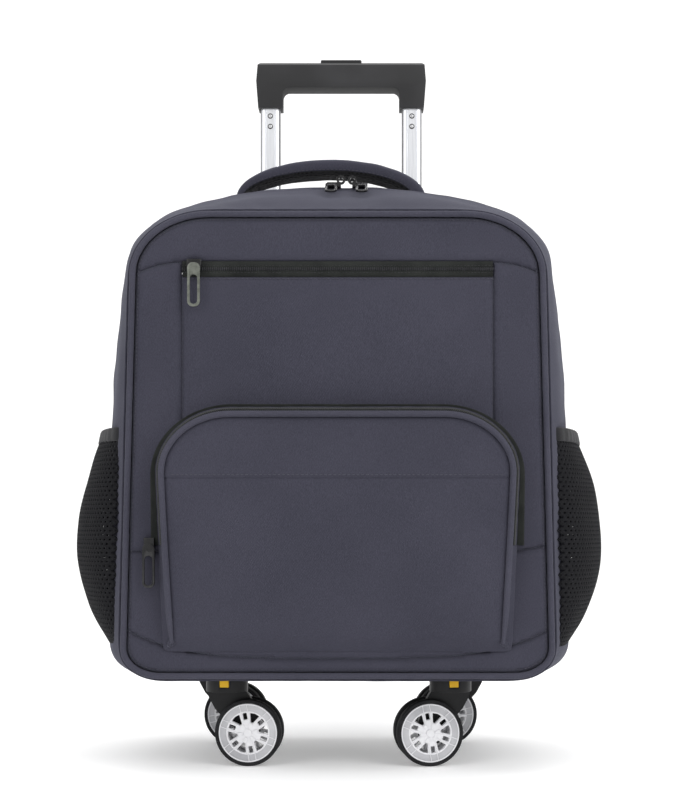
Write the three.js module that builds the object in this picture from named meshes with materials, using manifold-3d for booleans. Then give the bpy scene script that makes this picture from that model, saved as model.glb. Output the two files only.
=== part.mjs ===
// Wheeled backpack: a soft cloth bag with two outer pockets and two net side pockets, on four
// swivelling twin-wheel casters, with a three-stage pull handle, a padded carry handle and
// two shoulder straps. Millimetres, +Z up, the front faces -Y and +X is the viewer's right.

import * as THREE from 'three';
import { mergeVertices } from 'three/addons/utils/BufferGeometryUtils.js';
import Module from 'manifold-3d';

const wasm = await Module();
wasm.setup();

// Clearances
const seamGap = 0.3;
const seatGap = 0.4;
const runningGap = 0.4;

// Cloth
const clothWall = 2;
const netWall = 1.5;
const bindingWall = 2.2;

// Bag, as seen from the front: the panel at the front and the fuller crest behind it
const bagDepth = 210;
const bagBottom = 72.2;
const pipingRadius = 2.4;
const frontPanel = {
  halfBottom: 163.5,
  halfTop: 156.5,
  bottom: bagBottom,
  top: 424,
  bottomCorner: { reach: 30, height: 23 },
  topCorner: { reach: 60, height: 48 },
  topDrop: 0,
  flare: 1,
};
const crest = {
  halfBottom: 184,
  halfTop: 168,
  bottom: 75,
  top: 460,
  bottomCorner: { reach: 24, height: 20 },
  topCorner: { reach: 36, height: 42 },
  topDrop: 20,
  flare: 4,
};
const gussetSections = [
  { depth: 0.0, side: 0.0, top: 0.0, lift: 0 },
  { depth: 0.07, side: 0.32, top: 0.26, lift: 1 },
  { depth: 0.2, side: 0.66, top: 0.61, lift: 1 },
  { depth: 0.33, side: 0.88, top: 0.93, lift: 1 },
  { depth: 0.5, side: 1.0, top: 1.0, lift: 1 },
  { depth: 0.68, side: 0.95, top: 0.98, lift: 1 },
  { depth: 0.86, side: 0.7, top: 0.88, lift: 1 },
  { depth: 0.95, side: 0.4, top: 0.75, lift: 1 },
  { depth: 1.0, side: 0.14, top: 0.62, lift: 1 },
];
const outlineSteps = { bottom: 1, bottomCorner: 3, side: 3, topCorner: 5, top: 3 };
const cornerRoundness = 0.55;
const pipingSides = 6;

// Front panel seams
const yoke = { seam: 385.4, drop: 11, curve: 2 };
const band = { seam: 87.6, rise: 24, curve: 4 };
const centreHalfWidth = 117;
const frontZipWidth = 10.4;
const seamSteps = 8;

// Lower pocket
const pocket = {
  bottom: 93,
  top: 277,
  halfBottom: 131,
  halfTop: 137,
  bottomReach: 4,
  topCorner: { reach: 58, height: 50 },
  faceInset: 8.5,
  crown: 4,
  ridge: { share: 0.6, crown: 0.7 },
  zipBottom: 171,
  zipWidth: 7,
};
const pocketDepths = [
  { height: 0.0, depth: 0.28 },
  { height: 0.25, depth: 0.7 },
  { height: 0.55, depth: 0.95 },
  { height: 0.8, depth: 1.0 },
  { height: 1.0, depth: 0.96 },
];
const pocketDepth = 18;
const pocketPiping = { radius: 2.3, outward: 0.6 };

// Net side pockets
const netPocket = {
  bottom: 96,
  top: 262,
  bulge: 28,
  fullness: 0.6,
  frontDepth: 0.035,
  backDepth: 0.9,
  bindingHeight: 11,
};
const netPocketRows = [
  { height: 0.0, bulge: 0.04 },
  { height: 0.1, bulge: 0.46 },
  { height: 0.22, bulge: 0.78 },
  { height: 0.38, bulge: 1.0 },
  { height: 0.56, bulge: 0.97 },
  { height: 0.72, bulge: 0.84 },
  { height: 0.86, bulge: 0.6 },
  { height: 1.0, bulge: 0.27 },
];

// Main zip and zip hardware
const mainZip = { depth: 0.33, width: 10, bottom: 285, meeting: 6, sliderSpacing: 20 };
const slider = { length: 11, width: 8, height: 3.6, lift: 0.5 };
const eyelet = { radius: 3.6, bore: 1.9, thickness: 2.2, sunk: 1, sides: 16 };
const pullTab = {
  length: 33,
  width: 9.4,
  cornerRadius: 3.9,
  thickness: 1.6,
  frame: 1.9,
  slotRadius: 2.9,
  solidLength: 9,
  pivot: 1,
  reach: 1.65,
  offset: 2,
};
const frontTab = { x: -107.4, z: 383, wide: slider.length, high: slider.width };
const pocketTabPlace = { beyondPocket: 6.5, aboveZipEnd: 2 };
const pocketSideAt = (z) => {
  const low = pocket.bottom + pocket.bottomReach;
  const high = pocket.top - pocket.topCorner.height;
  return pocket.halfBottom + ((pocket.halfTop - pocket.halfBottom) * (z - low)) / (high - low);
};
const pocketTabHeight = pocket.zipBottom + pocketTabPlace.aboveZipEnd;
const pocketTab = {
  x: -pocketSideAt(pocketTabHeight) - pocketTabPlace.beyondPocket,
  z: pocketTabHeight,
  wide: slider.width,
  high: slider.length,
};

// Carry handle
const carryHandle = {
  offset: -7,
  y: 5,
  halfSpan: 78,
  rise: 32,
  thickness: 11,
  width: 30,
  sunk: 2.6,
  steps: 11,
};
const carryHandleSection = [
  { inward: 0.0, across: -0.36 },
  { inward: 0.0, across: 0.36 },
  { inward: 0.3, across: 0.5 },
  { inward: 0.7, across: 0.5 },
  { inward: 1.0, across: 0.36 },
  { inward: 1.0, across: -0.36 },
  { inward: 0.7, across: -0.5 },
  { inward: 0.3, across: -0.5 },
];

// Pull handle
const tubeX = 62.1;
const tubeY = 79;
const tubeSection = { width: 17.5, depth: 12, wall: 1, corner: 4 };
const tubeStep = 1.4;
const collar = { halfWidth: 80, depth: 24, bottom: 441, top: 462 };
const tubeLengths = { inner: 358, middle: 329 };
const middleTubeRise = 3;
const rivet = { radius: 2.3, height: 0.8, upper: 6.6, lower: 15.7, sides: 10 };
const grip = {
  halfWidth: 74.4,
  halfWidthTop: 73.2,
  halfWidthBottom: 72.6,
  top: 595,
  crease: 577.5,
  barBottom: 572,
  legBottom: 554,
  legInner: 51.2,
  socket: 19,
  faceOut: 8.6,
  barDepth: 26,
  legDepth: 17,
  bend: 6,
  edge: 2,
  topRound: 6,
  fascia: 1.5,
  backRound: 5,
};
const button = { halfWidth: 18, depth: 11, proud: 3.5, buried: 7, travel: 3 };

// Back panel and shoulder straps
const backPanel = { thickness: 6 };
const strap = {
  width: 58,
  thickness: 11,
  topX: 42,
  bottomX: 92,
  top: 418,
  bottom: 214,
  bulge: 26,
  fullness: 1.4,
  sweep: 1.5,
  endShare: 0.6,
  edge: 4,
  steps: 8,
};
const webbing = { width: 25, thickness: 2.4, bottom: 112, x: 118, slack: 4, steps: 3 };

// Base and casters
const wheelRadius = 26;
const wheelSides = 20;
const basePlate = { halfWidth: 132, front: -84, back: 88, thickness: 4.1, corner: 24 };
const caster = {
  trail: 18,
  headRadius: 16.5,
  headHeight: 12.7,
  stemRadius: 4,
  bladeThickness: 7,
  bladeInset: { front: 3, back: 1 },
  bladeShoulder: 18,
  hubWall: 5,
  axleRadius: 3,
  tyreHeight: 3,
  rimWidth: 8,
  rimGap: 1,
  sides: 18,
};
const insert = { width: 7, height: 5.6, below: 5.6 };
const casterInset = { frontSide: 44, frontEdge: 32, rearSide: 24, rearEdge: 30 };
const frontCasterX = basePlate.halfWidth - casterInset.frontSide;
const rearCasterX = basePlate.halfWidth - casterInset.rearSide;
const frontCasterY = basePlate.front + casterInset.frontEdge;
const rearCasterY = basePlate.back - casterInset.rearEdge;
const casters = [
  { name: 'front_left', x: -frontCasterX, y: frontCasterY, turn: -3, spin: 40 },
  { name: 'front_right', x: frontCasterX, y: frontCasterY, turn: 187, spin: 20.6 },
  { name: 'rear_left', x: -rearCasterX, y: rearCasterY, turn: -6, spin: 12 },
  { name: 'rear_right', x: rearCasterX, y: rearCasterY, turn: 186, spin: 52 },
];
const rimHole = {
  count: 6,
  inner: 0.47,
  outer: 0.66,
  width: 0.17,
  fanInner: 0.36,
  fanOuter: 0.67,
  fanHalfAngle: 12.6,
};

// Materials
const paint = (color, roughness, metalness = 0) =>
  new THREE.MeshStandardMaterial({ color, roughness, metalness });
const materials = {
  cloth: paint(0x464652, 0.85),
  piping: paint(0x4a4a56, 0.8),
  zipTape: paint(0x2d2e2c, 0.75),
  net: paint(0x17171a, 0.9),
  binding: paint(0x2a2a2e, 0.85),
  webbing: paint(0x1c1c20, 0.85),
  gripPlastic: paint(0x3c3c3e, 0.5),
  tube: paint(0xd8d9dc, 0.3, 0.9),
  blackPlastic: paint(0x1d1d1f, 0.45),
  rim: paint(0xe1e1e4, 0.35, 0.2),
  tyre: paint(0x2d2d2f, 0.7),
  yellow: paint(0xebb928, 0.5),
  gunmetal: paint(0x6e7369, 0.35, 0.8),
  blackMetal: paint(0x202022, 0.4, 0.6),
};

const bagFront = -bagDepth / 2;
const bagBack = bagDepth / 2;
const gussetFront = bagFront + pipingRadius + seamGap;
const gussetBack = bagBack - seamGap - backPanel.thickness / 2;
const gussetDepth = gussetBack - gussetFront;
const backward = new THREE.Vector3(0, 1, 0);
const { degToRad, lerp, clamp } = THREE.MathUtils;
const plateTop = crest.bottom - seatGap;
const plateBottom = plateTop - basePlate.thickness;
const fullTurn = 2 * Math.PI;

// Closed bodies
function bare(geometry) {
  const copy = geometry.clone();
  copy.deleteAttribute('normal');
  copy.deleteAttribute('uv');
  return mergeVertices(copy, 1e-4);
}

function faceOutward(geometry) {
  const position = geometry.attributes.position;
  const index = geometry.index.array;
  const [a, b, c] = [new THREE.Vector3(), new THREE.Vector3(), new THREE.Vector3()];
  let volume = 0;
  for (let i = 0; i < index.length; i += 3) {
    a.fromBufferAttribute(position, index[i]);
    b.fromBufferAttribute(position, index[i + 1]);
    c.fromBufferAttribute(position, index[i + 2]);
    volume += a.dot(b.cross(c));
  }
  if (volume < 0) {
    for (let i = 0; i < index.length; i += 3) {
      [index[i], index[i + 1]] = [index[i + 1], index[i]];
    }
  }
  geometry.computeVertexNormals();
  return geometry;
}

function toSolid(geometry) {
  const body = faceOutward(bare(geometry));
  return new wasm.Manifold(
    new wasm.Mesh({
      numProp: 3,
      vertProperties: Float32Array.from(body.attributes.position.array),
      triVerts: Uint32Array.from(body.index.array),
    }),
  );
}

function toGeometry(solid) {
  const mesh = solid.getMesh();
  const geometry = new THREE.BufferGeometry();
  geometry.setAttribute('position', new THREE.BufferAttribute(mesh.vertProperties, 3));
  geometry.setIndex(new THREE.BufferAttribute(mesh.triVerts, 1));
  geometry.computeVertexNormals();
  return geometry;
}

// Skin through rings of equally many points: open ends are closed by strips across the ring
// or by a fan to a pole, and a loop joins the last ring to the first.
function loft(rings, { loop = false, poles = null } = {}) {
  const count = rings[0].length;
  const positions = rings.flat().flatMap((p) => [p.x, p.y, p.z]);
  const index = [];
  const bands = loop ? rings.length : rings.length - 1;
  for (let j = 0; j < bands; j += 1) {
    const here = j * count;
    const next = ((j + 1) % rings.length) * count;
    for (let i = 0; i < count; i += 1) {
      const k = (i + 1) % count;
      index.push(here + i, here + k, next + k, here + i, next + k, next + i);
    }
  }
  const last = (rings.length - 1) * count;
  if (poles) {
    const firstPole = positions.length / 3;
    positions.push(...poles.flatMap((p) => [p.x, p.y, p.z]));
    for (let i = 0; i < count; i += 1) {
      const k = (i + 1) % count;
      index.push(firstPole, k, i, firstPole + 1, last + i, last + k);
    }
  } else if (!loop) {
    for (let i = 0; i < count / 2 - 1; i += 1) {
      const far = count - 1 - i;
      index.push(i, far, far - 1, i, far - 1, i + 1);
      index.push(last + i, last + i + 1, last + far - 1, last + i, last + far - 1, last + far);
    }
  }
  const geometry = new THREE.BufferGeometry();
  geometry.setAttribute('position', new THREE.Float32BufferAttribute(positions, 3));
  geometry.setIndex(index);
  return faceOutward(geometry);
}

// Round cord through given points, with a ring of corners square to the path at each point
function cord(points, radius, sides, closed) {
  const count = points.length;
  const rings = points.map((point, i) => {
    const before = points[closed ? (i + count - 1) % count : Math.max(i - 1, 0)];
    const after = points[closed ? (i + 1) % count : Math.min(i + 1, count - 1)];
    const along = after.clone().sub(before).normalize();
    const across = backward.clone().cross(along).normalize();
    const over = along.clone().cross(across).normalize();
    return Array.from({ length: sides }, (_, k) => {
      const angle = (fullTurn * (k + 0.5)) / sides;
      return point
        .clone()
        .addScaledVector(across, radius * Math.cos(angle))
        .addScaledVector(over, radius * Math.sin(angle));
    });
  });
  return loft(rings, { loop: closed });
}

// Plate cut from an outline in the front plane, from yFront to yBack
function frontPlate(points, yFront, yBack, holes = []) {
  const shape = new THREE.Shape(points);
  shape.holes = holes.map((hole) => new THREE.Path(hole));
  const geometry = new THREE.ExtrudeGeometry(shape, {
    depth: yBack - yFront,
    bevelEnabled: false,
    steps: 1,
  });
  return geometry.rotateX(Math.PI / 2).translate(0, yBack, 0);
}

function box(width, depth, height, x, y, z) {
  return new THREE.BoxGeometry(width, depth, height).translate(x, y, z);
}

function rod(radius, length, segments) {
  return new THREE.CylinderGeometry(radius, radius, length, segments);
}

function roundedRectangle(width, height, radius) {
  const [w, h] = [width / 2, height / 2];
  const shape = new THREE.Shape();
  shape.moveTo(-w + radius, -h);
  shape.lineTo(w - radius, -h);
  shape.absarc(w - radius, -h + radius, radius, -Math.PI / 2, 0);
  shape.lineTo(w, h - radius);
  shape.absarc(w - radius, h - radius, radius, 0, Math.PI / 2);
  shape.lineTo(-w + radius, h);
  shape.absarc(-w + radius, h - radius, radius, Math.PI / 2, Math.PI);
  shape.lineTo(-w, -h + radius);
  shape.absarc(-w + radius, -h + radius, radius, Math.PI, 1.5 * Math.PI);
  return shape;
}

// Outlines in the front plane
function corner(from, at, to, count) {
  const curve = new THREE.CubicBezierCurve(
    from,
    from.clone().lerp(at, cornerRoundness),
    to.clone().lerp(at, cornerRoundness),
    to,
  );
  return curve.getPoints(count).slice(1);
}

function mirrored(half) {
  const other = half.slice(1, -1).reverse();
  return [...half, ...other.map((p) => new THREE.Vector2(-p.x, p.y))];
}

// Half of the bag's outline, from the middle of the bottom to the middle of the top
function halfOutline(form) {
  const { halfBottom, halfTop, bottom, top, bottomCorner, topCorner, topDrop, flare } = form;
  const points = [];
  const foot = halfBottom - bottomCorner.reach;
  for (let i = 0; i <= outlineSteps.bottom; i += 1) {
    points.push(new THREE.Vector2((foot * i) / outlineSteps.bottom, bottom));
  }
  const sideFoot = new THREE.Vector2(halfBottom, bottom + bottomCorner.height);
  points.push(
    ...corner(points.at(-1), new THREE.Vector2(halfBottom, bottom), sideFoot, outlineSteps.bottomCorner),
  );
  const shoulder = halfTop - topCorner.reach;
  const slope = (3 * topDrop) / shoulder;
  const sideTop = new THREE.Vector2(halfTop, top - topDrop - topCorner.height);
  for (let i = 1; i <= outlineSteps.side; i += 1) {
    const share = i / outlineSteps.side;
    const x = halfBottom + (halfTop - halfBottom) * share ** flare;
    points.push(new THREE.Vector2(x, lerp(sideFoot.y, sideTop.y, share)));
  }
  const topStart = new THREE.Vector2(shoulder, top - topDrop);
  const turn = new THREE.Vector2(halfTop, topStart.y - slope * topCorner.reach);
  points.push(...corner(sideTop, turn, topStart, outlineSteps.topCorner));
  for (let i = outlineSteps.top - 1; i >= 0; i -= 1) {
    const share = i / outlineSteps.top;
    points.push(new THREE.Vector2(shoulder * share, top - topDrop * share ** 3));
  }
  return points;
}

const lowerCount = outlineSteps.bottom + outlineSteps.bottomCorner;
const frontHalf = halfOutline(frontPanel);
const crestHalf = halfOutline(crest);
const panelOutline = mirrored(frontHalf);

function gussetShares(depth) {
  const next = Math.max(1, gussetSections.findIndex((row) => row.depth >= depth));
  const [from, to] = [gussetSections[next - 1], gussetSections[next]];
  const share = (depth - from.depth) / (to.depth - from.depth);
  return {
    side: lerp(from.side, to.side, share),
    top: lerp(from.top, to.top, share),
    lift: lerp(from.lift, to.lift, share),
  };
}

function gussetHalf({ side, top, lift }) {
  return frontHalf.map((front, i) => {
    const full = crestHalf[i];
    const rise = i <= lowerCount ? lift : top;
    return new THREE.Vector2(
      lerp(front.x, full.x, side),
      lerp(front.y, full.y, rise),
    );
  });
}

function gussetY(depth) {
  return gussetFront + depth * gussetDepth;
}

function inset(points, distance) {
  const count = points.length;
  return points.map((point, i) => {
    const before = points[(i + count - 1) % count];
    const after = points[(i + 1) % count];
    const along = after.clone().sub(before).normalize();
    return new THREE.Vector2(point.x - along.y * distance, point.y + along.x * distance);
  });
}

function placed(points, y) {
  return points.map((p) => new THREE.Vector3(p.x, typeof y === 'function' ? y(p) : y, p.y));
}

// Height and half-width of the gusset's outer face
function alongHalf(half, value, from, to, result) {
  for (let i = 1; i < half.length; i += 1) {
    const [a, b] = [half[i - 1], half[i]];
    const [low, high] = [Math.min(a[from], b[from]), Math.max(a[from], b[from])];
    const wanted = result === 'top' ? i > lowerCount + outlineSteps.side : b.y > a.y;
    if (wanted && value >= low && value <= high) {
      return lerp(a[to], b[to], (value - a[from]) / (b[from] - a[from]));
    }
  }
  return half.at(-1)[to];
}

function sideX(depth, z) {
  return alongHalf(gussetHalf(gussetShares(depth)), z, 'y', 'x', 'side');
}

function topZ(y, x) {
  const depth = (y - gussetFront) / gussetDepth;
  return alongHalf(gussetHalf(gussetShares(depth)), Math.abs(x), 'x', 'y', 'top');
}

const model = new THREE.Group();

function addPiece(name, geometry, material, parent = model) {
  const mesh = new THREE.Mesh(geometry, material);
  mesh.name = name;
  parent.add(mesh);
  return mesh;
}

// Gusset: the cloth wall round the bag, open at the front and the back, with a slit for the
// main zip over the top and down both sides, and a window for the pull handle's collar
function makeGusset() {
  const outer = [];
  const inner = [];
  for (const row of gussetSections) {
    const ring = mirrored(gussetHalf(row));
    outer.push(placed(ring, gussetY(row.depth)));
    inner.unshift(placed(inset(ring, clothWall), gussetY(row.depth)));
  }
  const wall = toSolid(loft([...outer, ...inner], { loop: true }));
  const zipY = gussetY(mainZip.depth);
  const zipTop = crest.top + clothWall;
  const slot = (spare) =>
    toSolid(
      box(
        2 * crest.halfBottom + bagDepth,
        mainZip.width + 2 * spare,
        zipTop - mainZip.bottom + spare,
        0,
        zipY,
        (zipTop + mainZip.bottom - spare) / 2,
      ),
    );
  const windowHeight = crest.top - collar.bottom + bagDepth / 2;
  const window = toSolid(
    box(
      2 * (collar.halfWidth + seamGap),
      collar.depth + 2 * seamGap,
      windowHeight,
      0,
      tubeY,
      collar.bottom - runningGap + windowHeight / 2,
    ),
  );
  addPiece('gusset', toGeometry(wall.subtract(slot(seamGap)).subtract(window)), materials.cloth);
  addPiece('main_zip', toGeometry(wall.intersect(slot(0))), materials.zipTape);
}

// Front: one flat sheet inside the piping, cut along its seams into its sewn panels
function makeFront() {
  const yFront = bagFront - clothWall / 2;
  const yBack = bagFront + clothWall / 2;
  const sheet = toSolid(frontPlate(inset(panelOutline, 2 * pipingRadius + seamGap), yFront, yBack));
  const reach = crest.halfBottom;
  const half = seamGap / 2;
  const yokeAt = (x) => {
    const out = Math.max(0, Math.abs(x) - centreHalfWidth) / (frontPanel.halfTop - centreHalfWidth);
    return yoke.seam - yoke.drop * out ** yoke.curve;
  };
  const bandAt = (x) => band.seam + band.rise * (Math.abs(x) / frontPanel.halfBottom) ** band.curve;
  const stations = Array.from({ length: 2 * seamSteps + 1 }, (_, i) => reach * (i / seamSteps - 1));
  const seam = (at, offset) => stations.map((x) => new THREE.Vector2(x, at(x) + offset));
  const above = (line) => [
    ...line,
    new THREE.Vector2(reach, 2 * crest.top),
    new THREE.Vector2(-reach, 2 * crest.top),
  ];
  const below = (line) => [new THREE.Vector2(-reach, 0), new THREE.Vector2(reach, 0), ...line.toReversed()];
  const region = (points) => toSolid(frontPlate(points, yFront - clothWall, yBack + clothWall));
  const column = (left, right, low, high) =>
    region([
      new THREE.Vector2(left, low),
      new THREE.Vector2(right, low),
      new THREE.Vector2(right, high),
      new THREE.Vector2(left, high),
    ]);
  const middle = sheet
    .intersect(region(below(seam(yokeAt, -half))))
    .intersect(region(above(seam(bandAt, half))));
  const zipLow = yoke.seam - frontZipWidth;
  const inner = centreHalfWidth - half;
  const cloth = materials.cloth;
  addPiece('front_yoke', toGeometry(sheet.intersect(region(above(seam(yokeAt, half))))), cloth);
  addPiece('bottom_band', toGeometry(sheet.intersect(region(below(seam(bandAt, -half))))), cloth);
  for (const [name, left, right] of [
    ['front_side_panel_left', -reach, -centreHalfWidth - half],
    ['front_side_panel_right', centreHalfWidth + half, reach],
  ]) {
    addPiece(name, toGeometry(middle.intersect(column(left, right, 0, crest.top))), cloth);
  }
  addPiece('zip_pocket_panel', toGeometry(middle.intersect(column(-inner, inner, 0, zipLow - half))), cloth);
  addPiece(
    'front_zip',
    toGeometry(middle.intersect(column(-inner, inner, zipLow + half, crest.top))),
    materials.zipTape,
  );
  const pipingPath = placed(inset(panelOutline, pipingRadius), bagFront);
  addPiece('front_piping', cord(pipingPath, pipingRadius, pipingSides, true), materials.piping);
}

// Lower pocket: a raised shell with an arched top, open at the back, whose side wall holds
// the zip from one side over the arch to the other, with piping round its front edge
function makeLowerPocket() {
  const seat = bagFront - clothWall / 2 - seamGap;
  const height = pocket.top - pocket.bottom;
  const depthAt = (z) => {
    const share = clamp((z - pocket.bottom) / height, 0, 1);
    const next = Math.max(1, pocketDepths.findIndex((row) => row.height >= share));
    const [from, to] = [pocketDepths[next - 1], pocketDepths[next]];
    const part = (share - from.height) / (to.height - from.height);
    return pocketDepth * lerp(from.depth, to.depth, part);
  };
  const half = halfOutline({
    ...pocket,
    bottomCorner: { reach: pocket.bottomReach, height: pocket.bottomReach },
    topDrop: 0,
    flare: 1,
  });
  const base = mirrored(half);
  const shoulder = inset(base, pocket.faceInset);
  const centre = new THREE.Vector2(0, (pocket.top + pocket.bottom) / 2);
  const middle = shoulder.map((p) => centre.clone().lerp(p, pocket.ridge.share));
  const faceY = (p) => seat - depthAt(p.y) - pocket.crown * pocket.ridge.crown;
  const shoulderY = (p) => seat - depthAt(p.y);
  const pole = (offset) =>
    new THREE.Vector3(0, seat - depthAt(centre.y) - pocket.crown + offset, centre.y);
  const inner = (y) => (p) => y(p) + clothWall;
  const shell = toSolid(
    loft(
      [
        placed(middle, faceY),
        placed(shoulder, shoulderY),
        placed(base, seat),
        placed(inset(base, clothWall), seat),
        placed(inset(shoulder, clothWall), inner(shoulderY)),
        placed(inset(middle, clothWall), inner(faceY)),
      ],
      { poles: [pole(0), pole(clothWall)] },
    ),
  );
  const zipBack = seat - clothWall;
  const slot = (spare) =>
    toSolid(
      box(
        2 * crest.halfBottom,
        pocket.zipWidth + 2 * spare,
        crest.top - pocket.zipBottom + spare,
        0,
        zipBack - pocket.zipWidth / 2,
        (crest.top + pocket.zipBottom - spare) / 2,
      ),
    );
  addPiece('lower_pocket', toGeometry(shell.subtract(slot(seamGap))), materials.cloth);
  addPiece('pocket_zip', toGeometry(shell.intersect(slot(0))), materials.zipTape);
  const reach = pocketPiping.radius + seamGap;
  const path = placed(inset(shoulder, -pocketPiping.outward * reach), (p) => shoulderY(p) - reach);
  addPiece(
    'pocket_piping',
    cord(path.slice(lowerCount, path.length - lowerCount + 1), pocketPiping.radius, pipingSides, false),
    materials.piping,
  );
}

// Net side pockets: a bulging sheet sewn to the gusset at its front, back and bottom edges,
// with an elastic binding along its open top edge
function netSheet(side, low, high, wall, rows) {
  const depths = gussetSections.map((row) => row.depth);
  const inside = depths.filter((d) => d > netPocket.frontDepth && d < netPocket.backDepth);
  const stations = [netPocket.frontDepth, ...inside, netPocket.backDepth];
  const bulgeAt = (z) => {
    const share = (z - netPocket.bottom) / (netPocket.top - netPocket.bottom);
    const next = Math.max(1, netPocketRows.findIndex((row) => row.height >= share - 1e-9));
    const [from, to] = [netPocketRows[next - 1], netPocketRows[next]];
    const part = (share - from.height) / (to.height - from.height);
    return netPocket.bulge * lerp(from.bulge, to.bulge, part);
  };
  const rings = stations.map((depth) => {
    const across = (depth - netPocket.frontDepth) / (netPocket.backDepth - netPocket.frontDepth);
    const spread = Math.sin(Math.PI * across) ** netPocket.fullness;
    const column = rows.map((share) => {
      const z = lerp(low, high, share);
      return { z, x: sideX(depth, z) + seatGap + bulgeAt(z) * spread };
    });
    const point = (x, z) => new THREE.Vector3(side * x, gussetY(depth), z);
    return [
      ...column.map(({ x, z }) => point(x + wall, z)),
      ...column.toReversed().map(({ x, z }) => point(x, z)),
    ];
  });
  return loft(rings);
}

function makeNetPockets() {
  const mouth = netPocket.top - netPocket.bindingHeight;
  const rows = netPocketRows.map((row) => row.height);
  for (const [name, side] of [
    ['left', -1],
    ['right', 1],
  ]) {
    const net = netSheet(side, netPocket.bottom, mouth - seamGap, netWall, rows);
    addPiece(`net_pocket_${name}`, net, materials.net);
    const binding = netSheet(side, mouth, netPocket.top, bindingWall, [0, 1]);
    addPiece(`net_pocket_binding_${name}`, binding, materials.binding);
  }
}

// Back panel with two padded shoulder straps, each continued by webbing to the bottom
function makeBack() {
  const outline = inset(mirrored(gussetHalf(gussetSections.at(-1))), seamGap);
  const front = gussetBack + seamGap;
  const back = front + backPanel.thickness;
  addPiece('back_panel', frontPlate(outline, front, back), materials.cloth);
  const seat = back + seatGap;
  for (const [name, side] of [
    ['left', -1],
    ['right', 1],
  ]) {
    const pad = Array.from({ length: strap.steps + 1 }, (_, i) => {
      const share = i / strap.steps;
      const lift = strap.bulge * Math.max(0, Math.sin(Math.PI * share)) ** strap.fullness;
      const x = lerp(strap.topX, strap.bottomX, share ** strap.sweep);
      const thick = strap.thickness * (i % strap.steps === 0 ? strap.endShare : 1);
      const z = lerp(strap.top, strap.bottom, share);
      return { x, y: seat + lift, z, half: strap.width / 2, thick };
    });
    addPiece(`shoulder_strap_${name}`, bandOf(pad, side, strap.edge), materials.webbing);
    const tail = Array.from({ length: webbing.steps + 1 }, (_, i) => {
      const share = i / webbing.steps;
      return {
        x: lerp(strap.bottomX, webbing.x, share),
        y: seat + webbing.slack * Math.sin(Math.PI * share),
        z: lerp(strap.bottom - seamGap, webbing.bottom, share),
        half: webbing.width / 2,
        thick: webbing.thickness,
      };
    });
    addPiece(`strap_webbing_${name}`, bandOf(tail, side, 0), materials.webbing);
  }
}

function bandOf(stations, side, bevel) {
  return loft(
    stations.map(({ x, y, z, half, thick }) => {
      const edge = Math.min(bevel, thick / 3);
      return [
        [-half + edge, thick],
        [half - edge, thick],
        [half, thick - edge],
        [half, edge],
        [half - edge, 0],
        [-half + edge, 0],
        [-half, edge],
        [-half, thick - edge],
      ]
        .filter((_, i) => bevel > 0 || i % 2 === 0)
        .map(([across, out]) => new THREE.Vector3(side * (x + across), y + out, z));
    }),
  );
}

// Carry handle: a padded arch on top of the bag, behind the main zip
function makeCarryHandle() {
  const { offset, y, halfSpan, rise, thickness, width, sunk, steps } = carryHandle;
  const base = crest.top - sunk;
  const rings = Array.from({ length: steps + 1 }, (_, i) => {
    const angle = (Math.PI * i) / steps;
    return carryHandleSection.map(({ inward, across }) => {
      const spare = thickness * inward;
      return new THREE.Vector3(
        offset + (halfSpan - spare) * Math.cos(angle),
        y + width * across,
        base + (rise - spare) * Math.sin(angle),
      );
    });
  });
  addPiece('carry_handle', loft(rings), materials.cloth);
}

// Pull handle: two fixed tubes in the bag's back, two stages that slide up out of them, a
// collar where they leave the bag, and a moulded grip with a release button
function tubeGeometry(grow, bottom, top) {
  const { width, depth, wall, corner: radius } = tubeSection;
  const shape = roundedRectangle(width + 2 * grow, depth + 2 * grow, radius + grow);
  const spare = grow - wall;
  const bore = roundedRectangle(width + 2 * spare, depth + 2 * spare, radius + spare);
  shape.holes = [new THREE.Path(bore.getPoints(2))];
  const settings = { depth: top - bottom, bevelEnabled: false, curveSegments: 2 };
  return new THREE.ExtrudeGeometry(shape, settings).translate(0, 0, bottom);
}

function ovalPlug(grow, bottom, top, x) {
  const { width, depth, corner: radius } = tubeSection;
  const shape = roundedRectangle(width + 2 * grow, depth + 2 * grow, radius + grow);
  const settings = { depth: top - bottom, bevelEnabled: false, curveSegments: 2 };
  return toSolid(new THREE.ExtrudeGeometry(shape, settings).translate(x, tubeY, bottom));
}

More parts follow.
